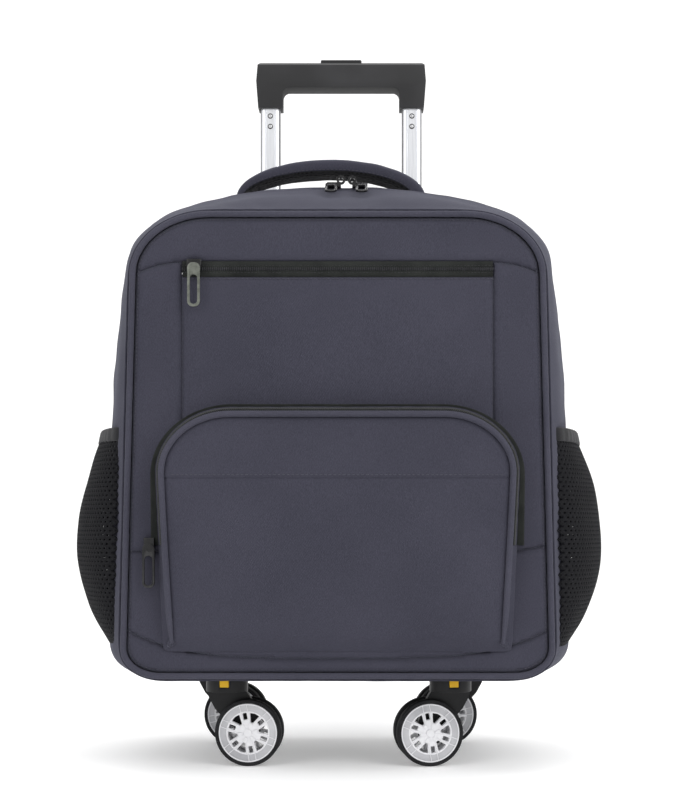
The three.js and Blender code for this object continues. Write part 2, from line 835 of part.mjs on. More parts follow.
function makePullHandle() {
  const sides = [
    ['left', -tubeX],
    ['right', tubeX],
  ];
  const innerTop = grip.legBottom + grip.socket;
  const innerBottom = innerTop - tubeLengths.inner;
  const middleTop = collar.bottom + middleTubeRise;
  const middleBottom = middleTop - tubeLengths.middle;
  const outerTop = collar.bottom - runningGap;
  const outerBottom = crest.bottom + clothWall + runningGap;
  for (const [name, x] of sides) {
    const at = (geometry) => geometry.translate(x, tubeY, 0);
    const outer = at(tubeGeometry(2 * tubeStep, outerBottom, outerTop));
    addPiece(`handle_outer_tube_${name}`, outer, materials.tube);
    const middle = at(tubeGeometry(tubeStep, middleBottom, middleTop));
    addPiece(`handle_middle_tube_${name}`, middle, materials.tube);
    let inner = toSolid(at(tubeGeometry(0, innerBottom, innerTop)));
    for (const below of [rivet.upper, rivet.lower]) {
      const face = tubeY - tubeSection.depth / 2;
      const length = rivet.height + tubeSection.wall / 2;
      const head = rod(rivet.radius, length, rivet.sides).translate(
        x,
        face - rivet.height + length / 2,
        grip.legBottom - below,
      );
      inner = inner.add(toSolid(head));
    }
    addPiece(`handle_inner_tube_${name}`, toGeometry(inner), materials.tube);
  }

  const collarHeight = collar.top - collar.bottom;
  let collarSolid = toSolid(
    box(2 * collar.halfWidth, collar.depth, collarHeight, 0, tubeY, collar.bottom + collarHeight / 2),
  );
  for (const [, x] of sides) {
    const spare = tubeStep + runningGap;
    const through = ovalPlug(spare, collar.bottom - spare, collar.top + spare, x);
    collarSolid = collarSolid.subtract(through);
  }
  addPiece('handle_collar', toGeometry(collarSolid), materials.blackPlastic);

  const front = new THREE.Shape();
  const { bend, edge } = grip;
  front.moveTo(-grip.halfWidthBottom, grip.legBottom);
  front.lineTo(-grip.legInner, grip.legBottom);
  front.lineTo(-grip.legInner, grip.barBottom - bend);
  front.absarc(-grip.legInner + bend, grip.barBottom - bend, bend, Math.PI, Math.PI / 2, true);
  front.lineTo(grip.legInner - bend, grip.barBottom);
  front.absarc(grip.legInner - bend, grip.barBottom - bend, bend, Math.PI / 2, 0, true);
  front.lineTo(grip.legInner, grip.legBottom);
  front.lineTo(grip.halfWidthBottom, grip.legBottom);
  front.lineTo(grip.halfWidth, grip.crease);
  front.lineTo(grip.halfWidthTop, grip.top - edge);
  front.lineTo(grip.halfWidthTop - edge, grip.top);
  front.lineTo(-grip.halfWidthTop + edge, grip.top);
  front.lineTo(-grip.halfWidthTop, grip.top - edge);
  front.lineTo(-grip.halfWidth, grip.crease);
  const face = tubeY - grip.faceOut;
  const back = face + grip.barDepth;
  const frontForm = frontPlate(front.getPoints(3), face, back);
  const profile = new THREE.Shape([
    new THREE.Vector2(face, grip.legBottom),
    new THREE.Vector2(face + grip.legDepth, grip.legBottom),
    new THREE.Vector2(face + grip.legDepth + edge, grip.barBottom),
    new THREE.Vector2(back, grip.barBottom + edge),
    new THREE.Vector2(back, grip.top - grip.backRound - edge),
    new THREE.Vector2(back - grip.backRound, grip.top),
    new THREE.Vector2(face + grip.topRound, grip.top),
    new THREE.Vector2(face + grip.fascia, grip.top - 2 * grip.fascia),
    new THREE.Vector2(face, grip.crease),
  ]);
  const span = 2 * (grip.halfWidth + edge);
  const profileForm = new THREE.ExtrudeGeometry(profile, { depth: span, bevelEnabled: false })
    .rotateX(Math.PI / 2)
    .rotateZ(Math.PI / 2)
    .translate(-span / 2, 0, 0);
  const buttonY = face + grip.barDepth / 2;
  const buttonHeight = button.proud + button.buried;
  const buttonBottom = grip.top - button.buried;
  const press = box(
    2 * button.halfWidth,
    button.depth,
    buttonHeight,
    0,
    buttonY,
    buttonBottom + buttonHeight / 2,
  );
  let gripSolid = toSolid(frontForm).intersect(toSolid(profileForm));
  for (const [, x] of sides) {
    gripSolid = gripSolid.subtract(ovalPlug(seamGap, grip.legBottom - edge, innerTop + seamGap, x));
  }
  const recess = box(
    2 * (button.halfWidth + runningGap),
    button.depth + 2 * runningGap,
    grip.top,
    0,
    buttonY,
    buttonBottom - button.travel - runningGap + grip.top / 2,
  );
  addPiece('handle_grip', toGeometry(gripSolid.subtract(toSolid(recess))), materials.gripPlastic);
  addPiece('handle_button', press, materials.gripPlastic);
}

// Zip sliders and their pull tabs
function eyeletOn(x, y, z) {
  const shape = new THREE.Shape().absarc(0, 0, eyelet.radius, 0, fullTurn);
  shape.holes = [new THREE.Path().absarc(0, 0, eyelet.bore, 0, fullTurn)];
  const settings = { depth: eyelet.thickness, bevelEnabled: false, curveSegments: eyelet.sides / 2 };
  return new THREE.ExtrudeGeometry(shape, settings)
    .translate(0, 0, -eyelet.thickness / 2)
    .rotateX(Math.PI / 2)
    .translate(x, y, z);
}

function tabGeometry() {
  const { length, width, cornerRadius, thickness, frame, slotRadius, solidLength, pivot } = pullTab;
  const outline = roundedRectangle(width, length, Math.min(cornerRadius, width / 2));
  const slotWidth = width - 2 * frame;
  const slot = roundedRectangle(slotWidth, length - frame - solidLength, Math.min(slotRadius, slotWidth / 2));
  const lowered = slot.getPoints(2).map((p) => new THREE.Vector2(p.x, p.y - (solidLength - frame) / 2));
  outline.holes = [new THREE.Path(lowered)];
  const settings = { depth: thickness, bevelEnabled: false, curveSegments: 2 };
  return new THREE.ExtrudeGeometry(outline, settings)
    .translate(0, pivot - length / 2, -thickness / 2)
    .rotateX(Math.PI / 2);
}

function makeZipHardware() {
  const zipY = gussetY(mainZip.depth);
  const crestZ = topZ(zipY, mainZip.meeting);
  const slope = Math.atan2(crestZ - topZ(zipY - pullTab.length, 0), pullTab.length);
  for (const [name, side] of [
    ['left', -1],
    ['right', 1],
  ]) {
    const x = mainZip.meeting + (side * mainZip.sliderSpacing) / 2;
    const low = crestZ + seamGap + slider.lift;
    let body = toSolid(box(slider.length, slider.width, slider.height, x, zipY, low + slider.height / 2));
    const lugZ = low + slider.height + eyelet.radius - eyelet.sunk;
    const lug = eyeletOn(x - (side * slider.length) / 2, zipY, lugZ);
    body = body.add(toSolid(lug));
    addPiece(`main_zip_slider_${name}`, toGeometry(body), materials.blackMetal);
    const tab = addPiece(`main_zip_tab_${name}`, tabGeometry(), materials.blackMetal);
    const hinge = zipY - slider.width / 2 - pullTab.reach;
    tab.position.set(x + side * pullTab.offset, hinge, low + slider.height / 2);
    tab.rotation.x = -(Math.PI / 2 - slope);
  }
  const panelFace = bagFront - clothWall / 2;
  for (const [name, at, face, material] of [
    ['front_zip', frontTab, panelFace, materials.gunmetal],
    ['pocket_zip', pocketTab, panelFace, materials.blackMetal],
  ]) {
    const back = face - seamGap;
    const body = box(at.wide, slider.height, at.high, at.x, back - slider.height / 2, at.z);
    addPiece(`${name}_slider`, body, materials.blackMetal);
    const tab = addPiece(`${name}_tab`, tabGeometry(), material);
    tab.position.set(at.x, back - slider.height - pullTab.reach, at.z);
  }
}

// Base plate under the bag, and four casters that swivel in it
function makeBase() {
  const { halfWidth, front, back, thickness, corner: radius } = basePlate;
  const shape = roundedRectangle(2 * halfWidth, back - front, radius);
  const middle = (front + back) / 2;
  shape.holes = casters.map(({ x, y }) => {
    const bore = new THREE.Path();
    bore.absarc(x, y - middle, caster.stemRadius + runningGap, 0, fullTurn, true);
    return new THREE.Path(bore.getPoints(4));
  });
  const settings = { depth: thickness, bevelEnabled: false, curveSegments: 3 };
  const plate = new THREE.ExtrudeGeometry(shape, settings).translate(0, middle, plateBottom);
  addPiece('base_plate', plate, materials.blackPlastic);
  for (const row of casters) {
    const swivel = new THREE.Group();
    swivel.position.set(row.x, row.y, 0);
    swivel.rotation.z = degToRad(row.turn);
    model.add(swivel);
    makeCaster(row, swivel);
  }
}

function makeCaster({ name, spin }, swivel) {
  const { trail, headRadius, headHeight, stemRadius, bladeThickness, axleRadius, sides } = caster;
  const { bladeInset, bladeShoulder, hubWall, tyreHeight, rimWidth, rimGap } = caster;
  const headTop = plateBottom - seamGap;
  const headBottom = headTop - headHeight;
  const rimRadius = wheelRadius - tyreHeight;
  const upright = (radius, bottom, top, segments) =>
    toSolid(rod(radius, top - bottom, segments).rotateX(Math.PI / 2).translate(0, 0, (top + bottom) / 2));
  const blade = new THREE.Shape();
  const hub = axleRadius + hubWall;
  const bladeTop = headBottom + headHeight / 4;
  const shoulder = wheelRadius + bladeShoulder;
  blade.moveTo(bladeInset.back - headRadius, bladeTop);
  blade.quadraticCurveTo(bladeInset.back - headRadius, shoulder, trail - hub, wheelRadius);
  blade.absarc(trail, wheelRadius, hub, Math.PI, fullTurn);
  blade.quadraticCurveTo(trail + hub, shoulder, headRadius - bladeInset.front, bladeTop);
  const half = bladeThickness / 2;
  const axleBore = rod(axleRadius + runningGap, 2 * bladeThickness, sides / 2);
  const insertZ = headTop - insert.below;
  const window = box(insert.width + 2 * seamGap, 3 * headRadius, insert.height + 2 * seamGap, 0, 0, insertZ);
  const fork = upright(headRadius, headBottom, headTop, sides)
    .add(toSolid(frontPlate(blade.getPoints(4), -half, half)))
    .add(upright(stemRadius, headTop - headHeight / 4, plateTop - seamGap, sides / 2))
    .subtract(toSolid(axleBore.translate(trail, 0, wheelRadius)))
    .subtract(toSolid(window));
  addPiece(`caster_fork_${name}`, toGeometry(fork), materials.blackPlastic, swivel);
  const bar = box(insert.width, 2 * (headRadius - seamGap), insert.height, 0, 0, insertZ);
  addPiece(`caster_insert_${name}`, bar, materials.yellow, swivel);

  const wheel = new THREE.Group();
  wheel.position.set(trail, 0, wheelRadius);
  swivel.add(wheel);
  const rimPlace = half + rimGap;
  const disc = (near) => toSolid(frontPlate(rimOutline(), near, near + rimWidth, rimHoles(spin)));
  const pair = disc(rimPlace)
    .add(disc(-rimPlace - rimWidth))
    .add(toSolid(rod(axleRadius, 2 * rimPlace + rimWidth, sides / 2)));
  addPiece(`caster_wheel_${name}`, toGeometry(pair), materials.rim, wheel);
  const [inner, outer, edge] = [rimRadius + seamGap / 2, wheelRadius, rimWidth / 2];
  const profile = [
    [inner, -edge],
    [outer, -edge],
    [outer, edge],
    [inner, edge],
    [inner, -edge],
  ].map(([r, y]) => new THREE.Vector2(r, y));
  for (const [place, side] of [
    ['front', -1],
    ['back', 1],
  ]) {
    const tyre = new THREE.LatheGeometry(profile, wheelSides).translate(0, side * (rimPlace + edge), 0);
    addPiece(`caster_tyre_${name}_${place}`, faceOutward(bare(tyre)), materials.tyre, wheel);
  }

  function rimOutline() {
    return Array.from({ length: wheelSides }, (_, i) => {
      const angle = (fullTurn * i) / wheelSides;
      const radius = rimRadius - seamGap / 2;
      return new THREE.Vector2(radius * Math.cos(angle), radius * Math.sin(angle));
    });
  }

  function rimHoles(degrees) {
    const holes = [];
    const fanHalf = degToRad(rimHole.fanHalfAngle);
    for (let i = 0; i < rimHole.count; i += 1) {
      const angle = (fullTurn * i) / rimHole.count + degToRad(degrees);
      const turned = (x, y, by) =>
        new THREE.Vector2(x, y).multiplyScalar(rimRadius).rotateAround(new THREE.Vector2(), angle + by);
      const w = rimHole.width / 2;
      holes.push([
        turned(rimHole.inner, -w, 0),
        turned(rimHole.inner, w, 0),
        turned(rimHole.outer, w, 0),
        turned(rimHole.outer, -w, 0),
      ]);
      const quarter = Math.PI / rimHole.count;
      holes.push([
        turned(rimHole.fanInner, 0, quarter),
        turned(rimHole.fanOuter, 0, quarter + fanHalf),
        turned(rimHole.fanOuter, 0, quarter - fanHalf),
      ]);
    }
    return holes;
  }
}

makeGusset();
makeFront();
makeLowerPocket();
makeNetPockets();
makeBack();
makeCarryHandle();
makePullHandle();
makeZipHardware();
makeBase();

// The origin is on the floor under the middle of the whole
const extent = new THREE.Box3().setFromObject(model, true);
const middle = extent.getCenter(new THREE.Vector3());
model.position.set(-middle.x, -middle.y, -extent.min.z);

export default model;
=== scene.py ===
import math

import bmesh
import bpy
import numpy as np
from mathutils import Matrix, Vector, noise
from mathutils.geometry import delaunay_2d_cdt


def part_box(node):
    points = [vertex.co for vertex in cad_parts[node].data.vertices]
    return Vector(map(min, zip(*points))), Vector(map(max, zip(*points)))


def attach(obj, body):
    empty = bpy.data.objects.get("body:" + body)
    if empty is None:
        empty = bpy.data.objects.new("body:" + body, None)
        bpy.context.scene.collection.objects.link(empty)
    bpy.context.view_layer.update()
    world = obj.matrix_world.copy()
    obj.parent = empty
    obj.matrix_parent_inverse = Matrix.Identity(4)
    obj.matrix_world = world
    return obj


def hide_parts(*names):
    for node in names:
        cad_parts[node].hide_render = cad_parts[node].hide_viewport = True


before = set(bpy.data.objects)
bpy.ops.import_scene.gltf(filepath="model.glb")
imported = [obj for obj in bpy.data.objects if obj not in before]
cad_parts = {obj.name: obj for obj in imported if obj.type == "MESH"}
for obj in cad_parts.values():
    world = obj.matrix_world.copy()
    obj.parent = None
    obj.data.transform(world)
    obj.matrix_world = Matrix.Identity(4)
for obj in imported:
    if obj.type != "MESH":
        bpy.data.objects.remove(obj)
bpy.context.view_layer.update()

# Studio. The camera stands level in front of the bag, a little right of its middle, and looks
# through a long lens. The floor is pale and bends up into a backdrop, under soft white light.

photo_width, photo_height = 700, 798
camera_place = (0.018, -1.1681, 0.185)
focal_pixels = 1405
axis_column, axis_row = 361.6, 529



def add_object(name, data):
    thing = bpy.data.objects.new(name, data)
    bpy.context.collection.objects.link(thing)
    return thing


camera_data = bpy.data.cameras.new("camera")
camera_data.sensor_width = 36
camera_data.lens = camera_data.sensor_width * focal_pixels / photo_height
camera_data.shift_x = (photo_width / 2 - axis_column) / photo_height
camera_data.shift_y = (axis_row - photo_height / 2) / photo_height
camera = add_object("camera", camera_data)
camera.location = camera_place
camera.rotation_euler = (math.radians(90), 0, 0)
bpy.context.scene.camera = camera

floor_half, wall_near, bend_radius, wall_height = 4.0, 2.2, 1.0, 4.0
bend = [
    (wall_near + bend_radius * math.sin(a), bend_radius * (1 - math.cos(a)))
    for a in np.linspace(0, math.pi / 2, 12)
]
profile = [(-floor_half, 0.0), *bend, (wall_near + bend_radius, wall_height)]
floor_mesh = bpy.data.meshes.new("studio_floor")
floor_mesh.from_pydata(
    [(x, y, z) for y, z in profile for x in (-floor_half, floor_half)],
    [],
    [(2 * i, 2 * i + 1, 2 * i + 3, 2 * i + 2) for i in range(len(profile) - 1)],
)
floor = add_object("studio_floor", floor_mesh)
for polygon in floor_mesh.polygons:
    polygon.use_smooth = True
floor_paint = bpy.data.materials.new("studio_floor")
floor_paint.use_nodes = True
floor_shader = floor_paint.node_tree.nodes["Principled BSDF"]
floor_shader.inputs["Base Color"].default_value = (0.9, 0.9, 0.9, 1)
floor_shader.inputs["Roughness"].default_value = 0.75
floor_shader.inputs["Emission Color"].default_value = (1, 1, 1, 1)
floor_shader.inputs["Emission Strength"].default_value = 0.2
floor_mesh.materials.append(floor_paint)


def add_soft_light(name, place, target, size, power):
    lamp = bpy.data.lights.new(name, "AREA")
    lamp.shape = "RECTANGLE"
    lamp.size, lamp.size_y = size
    lamp.energy = power
    light = add_object(name, lamp)
    light.location = place
    light.rotation_euler = (Vector(target) - Vector(place)).to_track_quat("-Z", "Y").to_euler()


add_soft_light("front_left_light", (-1.5, -1.7, 1.3), (0, 0, 0.3), (1.2, 1.6), 11)
add_soft_light("front_right_light", (1.5, -1.5, 1.5), (0, 0, 0.3), (1.2, 1.6), 24)
add_soft_light("top_light", (0, 0.1, 2.2), (0, 0, 0), (2.2, 2.0), 24)

sky = bpy.data.worlds.new("studio")
sky.use_nodes = True
sky.node_tree.nodes["Background"].inputs["Color"].default_value = (1, 1, 1, 1)
sky_nodes = sky.node_tree.nodes
seen = sky_nodes.new("ShaderNodeLightPath")
strength = sky_nodes.new("ShaderNodeMapRange")
strength.inputs["To Min"].default_value = 0.78
strength.inputs["To Max"].default_value = 1.0
sky.node_tree.links.new(seen.outputs["Is Camera Ray"], strength.inputs["Value"])
sky.node_tree.links.new(strength.outputs["Result"], sky_nodes["Background"].inputs["Strength"])
bpy.context.scene.world = sky
bpy.context.scene.view_settings.view_transform = "Standard"
bpy.context.scene.view_settings.look = "None"

# Gusset. One strip of heathered navy cloth goes round the bag from the front seam to the back
# seam. It is fuller at the middle of its depth, and a groove over the top holds the main zip.

MM = 0.001
front_face = 106.0
back_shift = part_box("front_yoke")[0].y / MM + front_face

bag_front, bag_back = -105.0, 105.0
piping_radius = 2.4
gusset_front = bag_front + piping_radius + 0.3
gusset_back = bag_back - 3.3
gusset_depth = gusset_back - gusset_front
cloth_wall = 1.8

panel_form = dict(
    half_bottom=163.5, half_top=156.5, bottom=72.2, top=424.0, drop=0.0, flare=1,
    bottom_reach=30.0, bottom_height=23.0, top_reach=60.0, top_height=48.0,
)
crest_form = dict(
    half_bottom=184.0, half_top=168.0, bottom=75.0, top=460.0, drop=20.0, flare=4,
    bottom_reach=24.0, bottom_height=20.0, top_reach=36.0, top_height=42.0,
)
corner_roundness = 0.55
outline_steps = dict(bottom=34, bottom_corner=14, side=76, top_corner=24, top=34)
gusset_shares = {
    "depth": (0.0, 0.07, 0.2, 0.33, 0.5, 0.68, 0.86, 0.95, 1.0),
    "side": (0.0, 0.32, 0.66, 0.88, 1.0, 0.95, 0.7, 0.4, 0.14),
    "top": (0.0, 0.26, 0.61, 0.93, 1.0, 0.98, 0.88, 0.75, 0.62),
    "lift": (0.0, 0.6, 1.0, 1.0, 1.0, 1.0, 1.0, 1.0, 1.0),
}


def bezier(a, b, c, d, count):
    t = np.linspace(0, 1, count + 1)[1:, None]
    return (1 - t) ** 3 * a + 3 * (1 - t) ** 2 * t * b + 3 * (1 - t) * t**2 * c + t**3 * d


def soften(loop, passes, closed=True):
    """Evens out kinks of a line of points."""
    loop = np.array(loop, float)
    for _ in range(passes):
        middle = (np.roll(loop, 1, 0) + np.roll(loop, -1, 0)) / 2
        if not closed:
            middle[0], middle[-1] = loop[0], loop[-1]
        loop = (loop + middle) / 2
    return loop


def half_outline(form, steps=outline_steps):
    """Half of a cloth outline, from the middle of the bottom to the middle of the top."""
    foot = form["half_bottom"] - form["bottom_reach"]
    side_foot = np.array([form["half_bottom"], form["bottom"] + form["bottom_height"]])
    side_top = np.array([form["half_top"], form["top"] - form["drop"] - form["top_height"]])
    shoulder = form["half_top"] - form["top_reach"]
    top_start = np.array([shoulder, form["top"] - form["drop"]])
    slope = 3 * form["drop"] / shoulder
    turn = np.array([form["half_top"], top_start[1] - slope * form["top_reach"]])
    points = [np.array([foot * i / steps["bottom"], form["bottom"]]) for i in range(steps["bottom"] + 1)]

    def corner(start, at, end, count):
        return bezier(
            start,
            start + (at - start) * corner_roundness,
            end + (at - end) * corner_roundness,
            end,
            count,
        )

    at = np.array([form["half_bottom"], form["bottom"]])
    points += list(corner(points[-1], at, side_foot, steps["bottom_corner"]))
    for i in range(1, steps["side"] + 1):
        share = i / steps["side"]
        x = form["half_bottom"] + (form["half_top"] - form["half_bottom"]) * share ** form["flare"]
        points.append(np.array([x, side_foot[1] + (side_top[1] - side_foot[1]) * share]))
    points += list(corner(side_top, turn, top_start, steps["top_corner"]))
    for i in range(steps["top"] - 1, -1, -1):
        share = i / steps["top"]
        points.append(np.array([shoulder * share, form["top"] - form["drop"] * share**3]))
    return np.array(points)


def whole_outline(half):
    """The half outline and its mirror image as one closed loop."""
    other = half[-2:0:-1] * (-1, 1)
    return np.vstack([half, other])


def units(vectors):
    return vectors / np.linalg.norm(vectors, axis=1)[:, None]


def run_length(line):
    """Distance along a line at each of its points."""
    return np.concatenate([[0], np.cumsum(np.linalg.norm(np.diff(line, axis=0), axis=1))])


def inset(loop, distance):
    """A closed loop moved inwards."""
    along = units(np.roll(loop, -1, 0) - np.roll(loop, 1, 0))
    return loop + distance * np.stack([-along[:, 1], along[:, 0]], 1)


def eased(xs, ys, x):
    """Smooth value of a short table at x."""
    xs, ys, x = np.array(xs, float), np.array(ys, float), np.asarray(x, float)
    slope = np.gradient(ys, xs)
    i = np.clip(np.searchsorted(xs, x) - 1, 0, len(xs) - 2)
    width = xs[i + 1] - xs[i]
    t = np.clip((x - xs[i]) / width, 0, 1)
    return (
        (2 * t**3 - 3 * t**2 + 1) * ys[i]
        + (t**3 - 2 * t**2 + t) * width * slope[i]
        + (3 * t**2 - 2 * t**3) * ys[i + 1]
        + (t**3 - t**2) * width * slope[i + 1]
    )


panel_half = half_outline(panel_form)
crest_half = half_outline(crest_form)
lower_count = outline_steps["bottom"] + outline_steps["bottom_corner"] + 1
lower_part = np.arange(len(panel_half)) < lower_count


def gusset_loop(depth):
    """The bag's outline at a share of its depth."""
    shares = {k: eased(gusset_shares["depth"], gusset_shares[k], depth) for k in ("side", "top", "lift")}
    rise = np.where(lower_part, shares["lift"], shares["top"])
    blend = np.linspace(0, 1, 9)
    rise[lower_count - 4 : lower_count + 5] = shares["lift"] + (shares["top"] - shares["lift"]) * blend
    x = panel_half[:, 0] + (crest_half[:, 0] - panel_half[:, 0]) * shares["side"]
    z = panel_half[:, 1] + (crest_half[:, 1] - panel_half[:, 1]) * rise
    return soften(whole_outline(np.stack([x, z], 1)), 6)


def depth_to_y(depth):
    return gusset_front + np.asarray(depth) * gusset_depth


def in_space(loop, y):
    """A loop of the front plane as points in space; y is one depth or one for each point."""
    return np.stack([loop[:, 0], np.broadcast_to(y, len(loop)), loop[:, 1]], 1)


def grid_normals(grid, wrap):
    """Unit normals of a grid of points that is closed along its columns if wrap is set."""
    if wrap:
        along = np.roll(grid, -1, 1) - np.roll(grid, 1, 1)
    else:
        along = np.gradient(grid, axis=1)
    across = np.gradient(grid, axis=0)
    normal = np.cross(along, across)
    return normal / np.maximum(np.linalg.norm(normal, axis=2)[..., None], 1e-9)


def rumple(points, size, seed, detail=2):
    """Smooth random height from -1 to 1 at each point, with dents about as wide as size."""
    flat = points.reshape(-1, 3) / size + seed * 17.3
    values = [noise.fractal(Vector(p), 0.8, 2.0, detail) for p in flat]
    return np.array(values).reshape(points.shape[:-1])


def new_piece(name, points, faces, material):
    """A mesh object from points in the bag's own millimetres."""
    mesh = bpy.data.meshes.new(name)
    points = np.asarray(points, float).reshape(-1, 3) * MM + (0, back_shift * MM, 0)
    mesh.from_pydata(points.tolist(), [], [tuple(int(i) for i in f) for f in faces])
    mesh.validate()
    mesh.update()
    mesh.materials.append(material)
    mesh.polygons.foreach_set("use_smooth", np.ones(len(mesh.polygons), bool))
    return add_object(name, mesh)


def grid_faces(rows, columns, wrap_rows=False, wrap_columns=False):
    r = np.arange(rows if wrap_rows else rows - 1)[:, None]
    c = np.arange(columns if wrap_columns else columns - 1)[None, :]
    r1, c1 = (r + 1) % rows, (c + 1) % columns
    quad = [r * columns + c, r * columns + c1, r1 * columns + c1, r1 * columns + c]
    return np.stack([np.broadcast_to(q, (len(r), c.shape[1])).ravel() for q in quad], 1)


def tube_faces(rings, sides):
    """Faces of a tube made of rings of points and closed at both ends."""
    last = (rings - 1) * sides
    ends = [tuple(range(sides)), tuple(range(last, last + sides))[::-1]]
    return [tuple(f) for f in grid_faces(rings, sides, wrap_columns=True)] + ends


def face_outwards(piece, merge=1e-6, facing=0, close=False):
    """Merges doubles and turns all faces outwards, or an open sheet to the front (-1) or back (1)."""
    shell = bmesh.new()
    shell.from_mesh(piece.data)
    bmesh.ops.remove_doubles(shell, verts=shell.verts, dist=merge)
    if close:
        bmesh.ops.holes_fill(shell, edges=[e for e in shell.edges if e.is_boundary], sides=0)
    bmesh.ops.recalc_face_normals(shell, faces=shell.faces)
    if sum(f.normal.y * f.calc_area() for f in shell.faces) * facing < 0:
        bmesh.ops.reverse_faces(shell, faces=shell.faces)
    shell.to_mesh(piece.data)
    shell.free()
    piece.data.update()


def thicken(piece, thickness, offset=-1.0):
    """Gives a cloth sheet its wall."""
    solidify = piece.modifiers.new("wall", "SOLIDIFY")
    solidify.thickness = thickness * MM
    solidify.offset = offset
    apply_modifiers(piece)


def apply_modifiers(piece):
    graph = bpy.context.evaluated_depsgraph_get()
    graph.update()
    mesh = bpy.data.meshes.new_from_object(piece.evaluated_get(graph))
    old = piece.data
    piece.modifiers.clear()
    piece.data = mesh
    mesh.name = piece.name
    if old.users == 0:
        bpy.data.meshes.remove(old)


def finish_piece(piece, body, slot, *nodes):
    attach(piece, body)
    if nodes:
        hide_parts(*nodes)
    return piece


def new_material(name, colour, roughness, metallic=0.0, sheen=0.0, coat=0.0, specular=0.12):
    """A material with its shader set, its node tree and its shader."""
    material = bpy.data.materials.new(name)
    material.use_nodes = True
    shader = material.node_tree.nodes["Principled BSDF"]
    shader.inputs["Base Color"].default_value = (*colour, 1)
    shader.inputs["Roughness"].default_value = roughness
    shader.inputs["Metallic"].default_value = metallic
    shader.inputs["Sheen Weight"].default_value = sheen
    shader.inputs["Coat Weight"].default_value = coat
    shader.inputs["Specular IOR Level"].default_value = specular
    return material, material.node_tree, shader


def add_node(tree, kind, inputs=None, **settings):
    node = tree.nodes.new(kind)
    for key, value in settings.items():
        setattr(node, key, value)
    for key, value in (inputs or {}).items():
        if isinstance(value, bpy.types.NodeSocket):
            tree.links.new(value, node.inputs[key])
        else:
            node.inputs[key].default_value = value
    return node


def in_piece(tree):
    """Places in the frame of the piece, so a pattern stays on it when it moves."""
    return add_node(tree, "ShaderNodeTexCoord").outputs["Object"]


def grain_noise(tree, place, scale, detail, **more):
    values = {"Vector": place, "Scale": scale, "Detail": detail, **more}
    return add_node(tree, "ShaderNodeTexNoise", values).outputs["Fac"]


def cells(tree, place, size, **more):
    values = {"Vector": place, "Scale": 1.0 / (size * MM), **more}
    return add_node(tree, "ShaderNodeTexVoronoi", values).outputs["Distance"]


def sum_of(tree, first, share, second):
    """first times share, plus second."""
    values = {0: first, 1: share, 2: second}
    return add_node(tree, "ShaderNodeMath", values, operation="MULTIPLY_ADD").outputs["Value"]


def two_tones(tree, shader, factor, dark, light, low=0.3, high=0.7):
    """Base colour between two tones."""
    ramp = add_node(tree, "ShaderNodeValToRGB", {"Fac": factor})
    ramp.color_ramp.elements[0].position = low
    ramp.color_ramp.elements[1].position = high
    ramp.color_ramp.elements[0].color = (*dark, 1)
    ramp.color_ramp.elements[1].color = (*light, 1)
    tree.links.new(ramp.outputs["Color"], shader.inputs["Base Color"])


def bump_on(tree, shader, height, distance, strength=1.0):
    values = {"Height": height, "Distance": distance, "Strength": strength}
    bump = add_node(tree, "ShaderNodeBump", values)
    tree.links.new(bump.outputs["Normal"], shader.inputs["Normal"])


def twill_cloth(name, dark, light, rib=0.9):
    """Heathered polyester twill: two yarns of close tones, fine slanting ribs, soft sheen."""
    material, tree, shader = new_material(name, light, 0.8, sheen=0.13)
    shader.inputs["Sheen Roughness"].default_value = 0.45
    shader.inputs["Sheen Tint"].default_value = (0.62, 0.64, 0.78, 1)
    place = in_piece(tree)
    turn = (0.0, math.radians(62), 0.0)
    slant = add_node(tree, "ShaderNodeMapping", {"Vector": place, "Rotation": turn}).outputs["Vector"]
    warp = add_node(
        tree,
        "ShaderNodeTexWave",
        {
            "Vector": slant, "Scale": 0.314 / (rib * MM), "Distortion": 0.6, "Detail": 1.0,
            "Detail Scale": 3.0,
        },
    ).outputs["Fac"]
    stretch = add_node(tree, "ShaderNodeMapping", {"Vector": place, "Scale": (1.0, 1.0, 0.34)})
    yarn = grain_noise(tree, stretch.outputs["Vector"], 2100.0, 3.0, Roughness=0.7)
    cloud = grain_noise(tree, place, 14.0, 3.0)
    mixed = sum_of(tree, yarn, 0.75, 0.0)
    two_tones(tree, shader, sum_of(tree, cloud, 0.25, mixed), dark, light, 0.36, 0.64)
    bump_on(tree, shader, sum_of(tree, yarn, 0.6, warp), 0.00018, 0.55)
    return material


bag_cloth = twill_cloth("navy_twill", (0.030, 0.030, 0.043), (0.049, 0.048, 0.067))

zip_depth = 0.33
zip_y = float(depth_to_y(zip_depth))
zip_low, zip_half = 285.0, 5.0
zip_groove, groove_edge = 1.3, 0.9

coarse = np.linspace(0, 1, 52)
near_zip = zip_depth + np.linspace(-8.5, 8.5, 23) / gusset_depth
near_seams = np.array([0.004, 0.010, 0.016, 0.025, 0.975, 0.984, 0.992])
kept = coarse[np.abs(coarse - zip_depth) > 9.5 / gusset_depth]
depths = np.unique(np.round(np.concatenate([kept, near_zip, near_seams]), 5))
loops = [gusset_loop(d) for d in depths]
gusset_grid = np.stack([in_space(loop, y) for loop, y in zip(loops, depth_to_y(depths))])
gusset_out = -grid_normals(gusset_grid, True)
if gusset_out[len(depths) // 2, 0, 2] > 0:
    gusset_out = -gusset_out

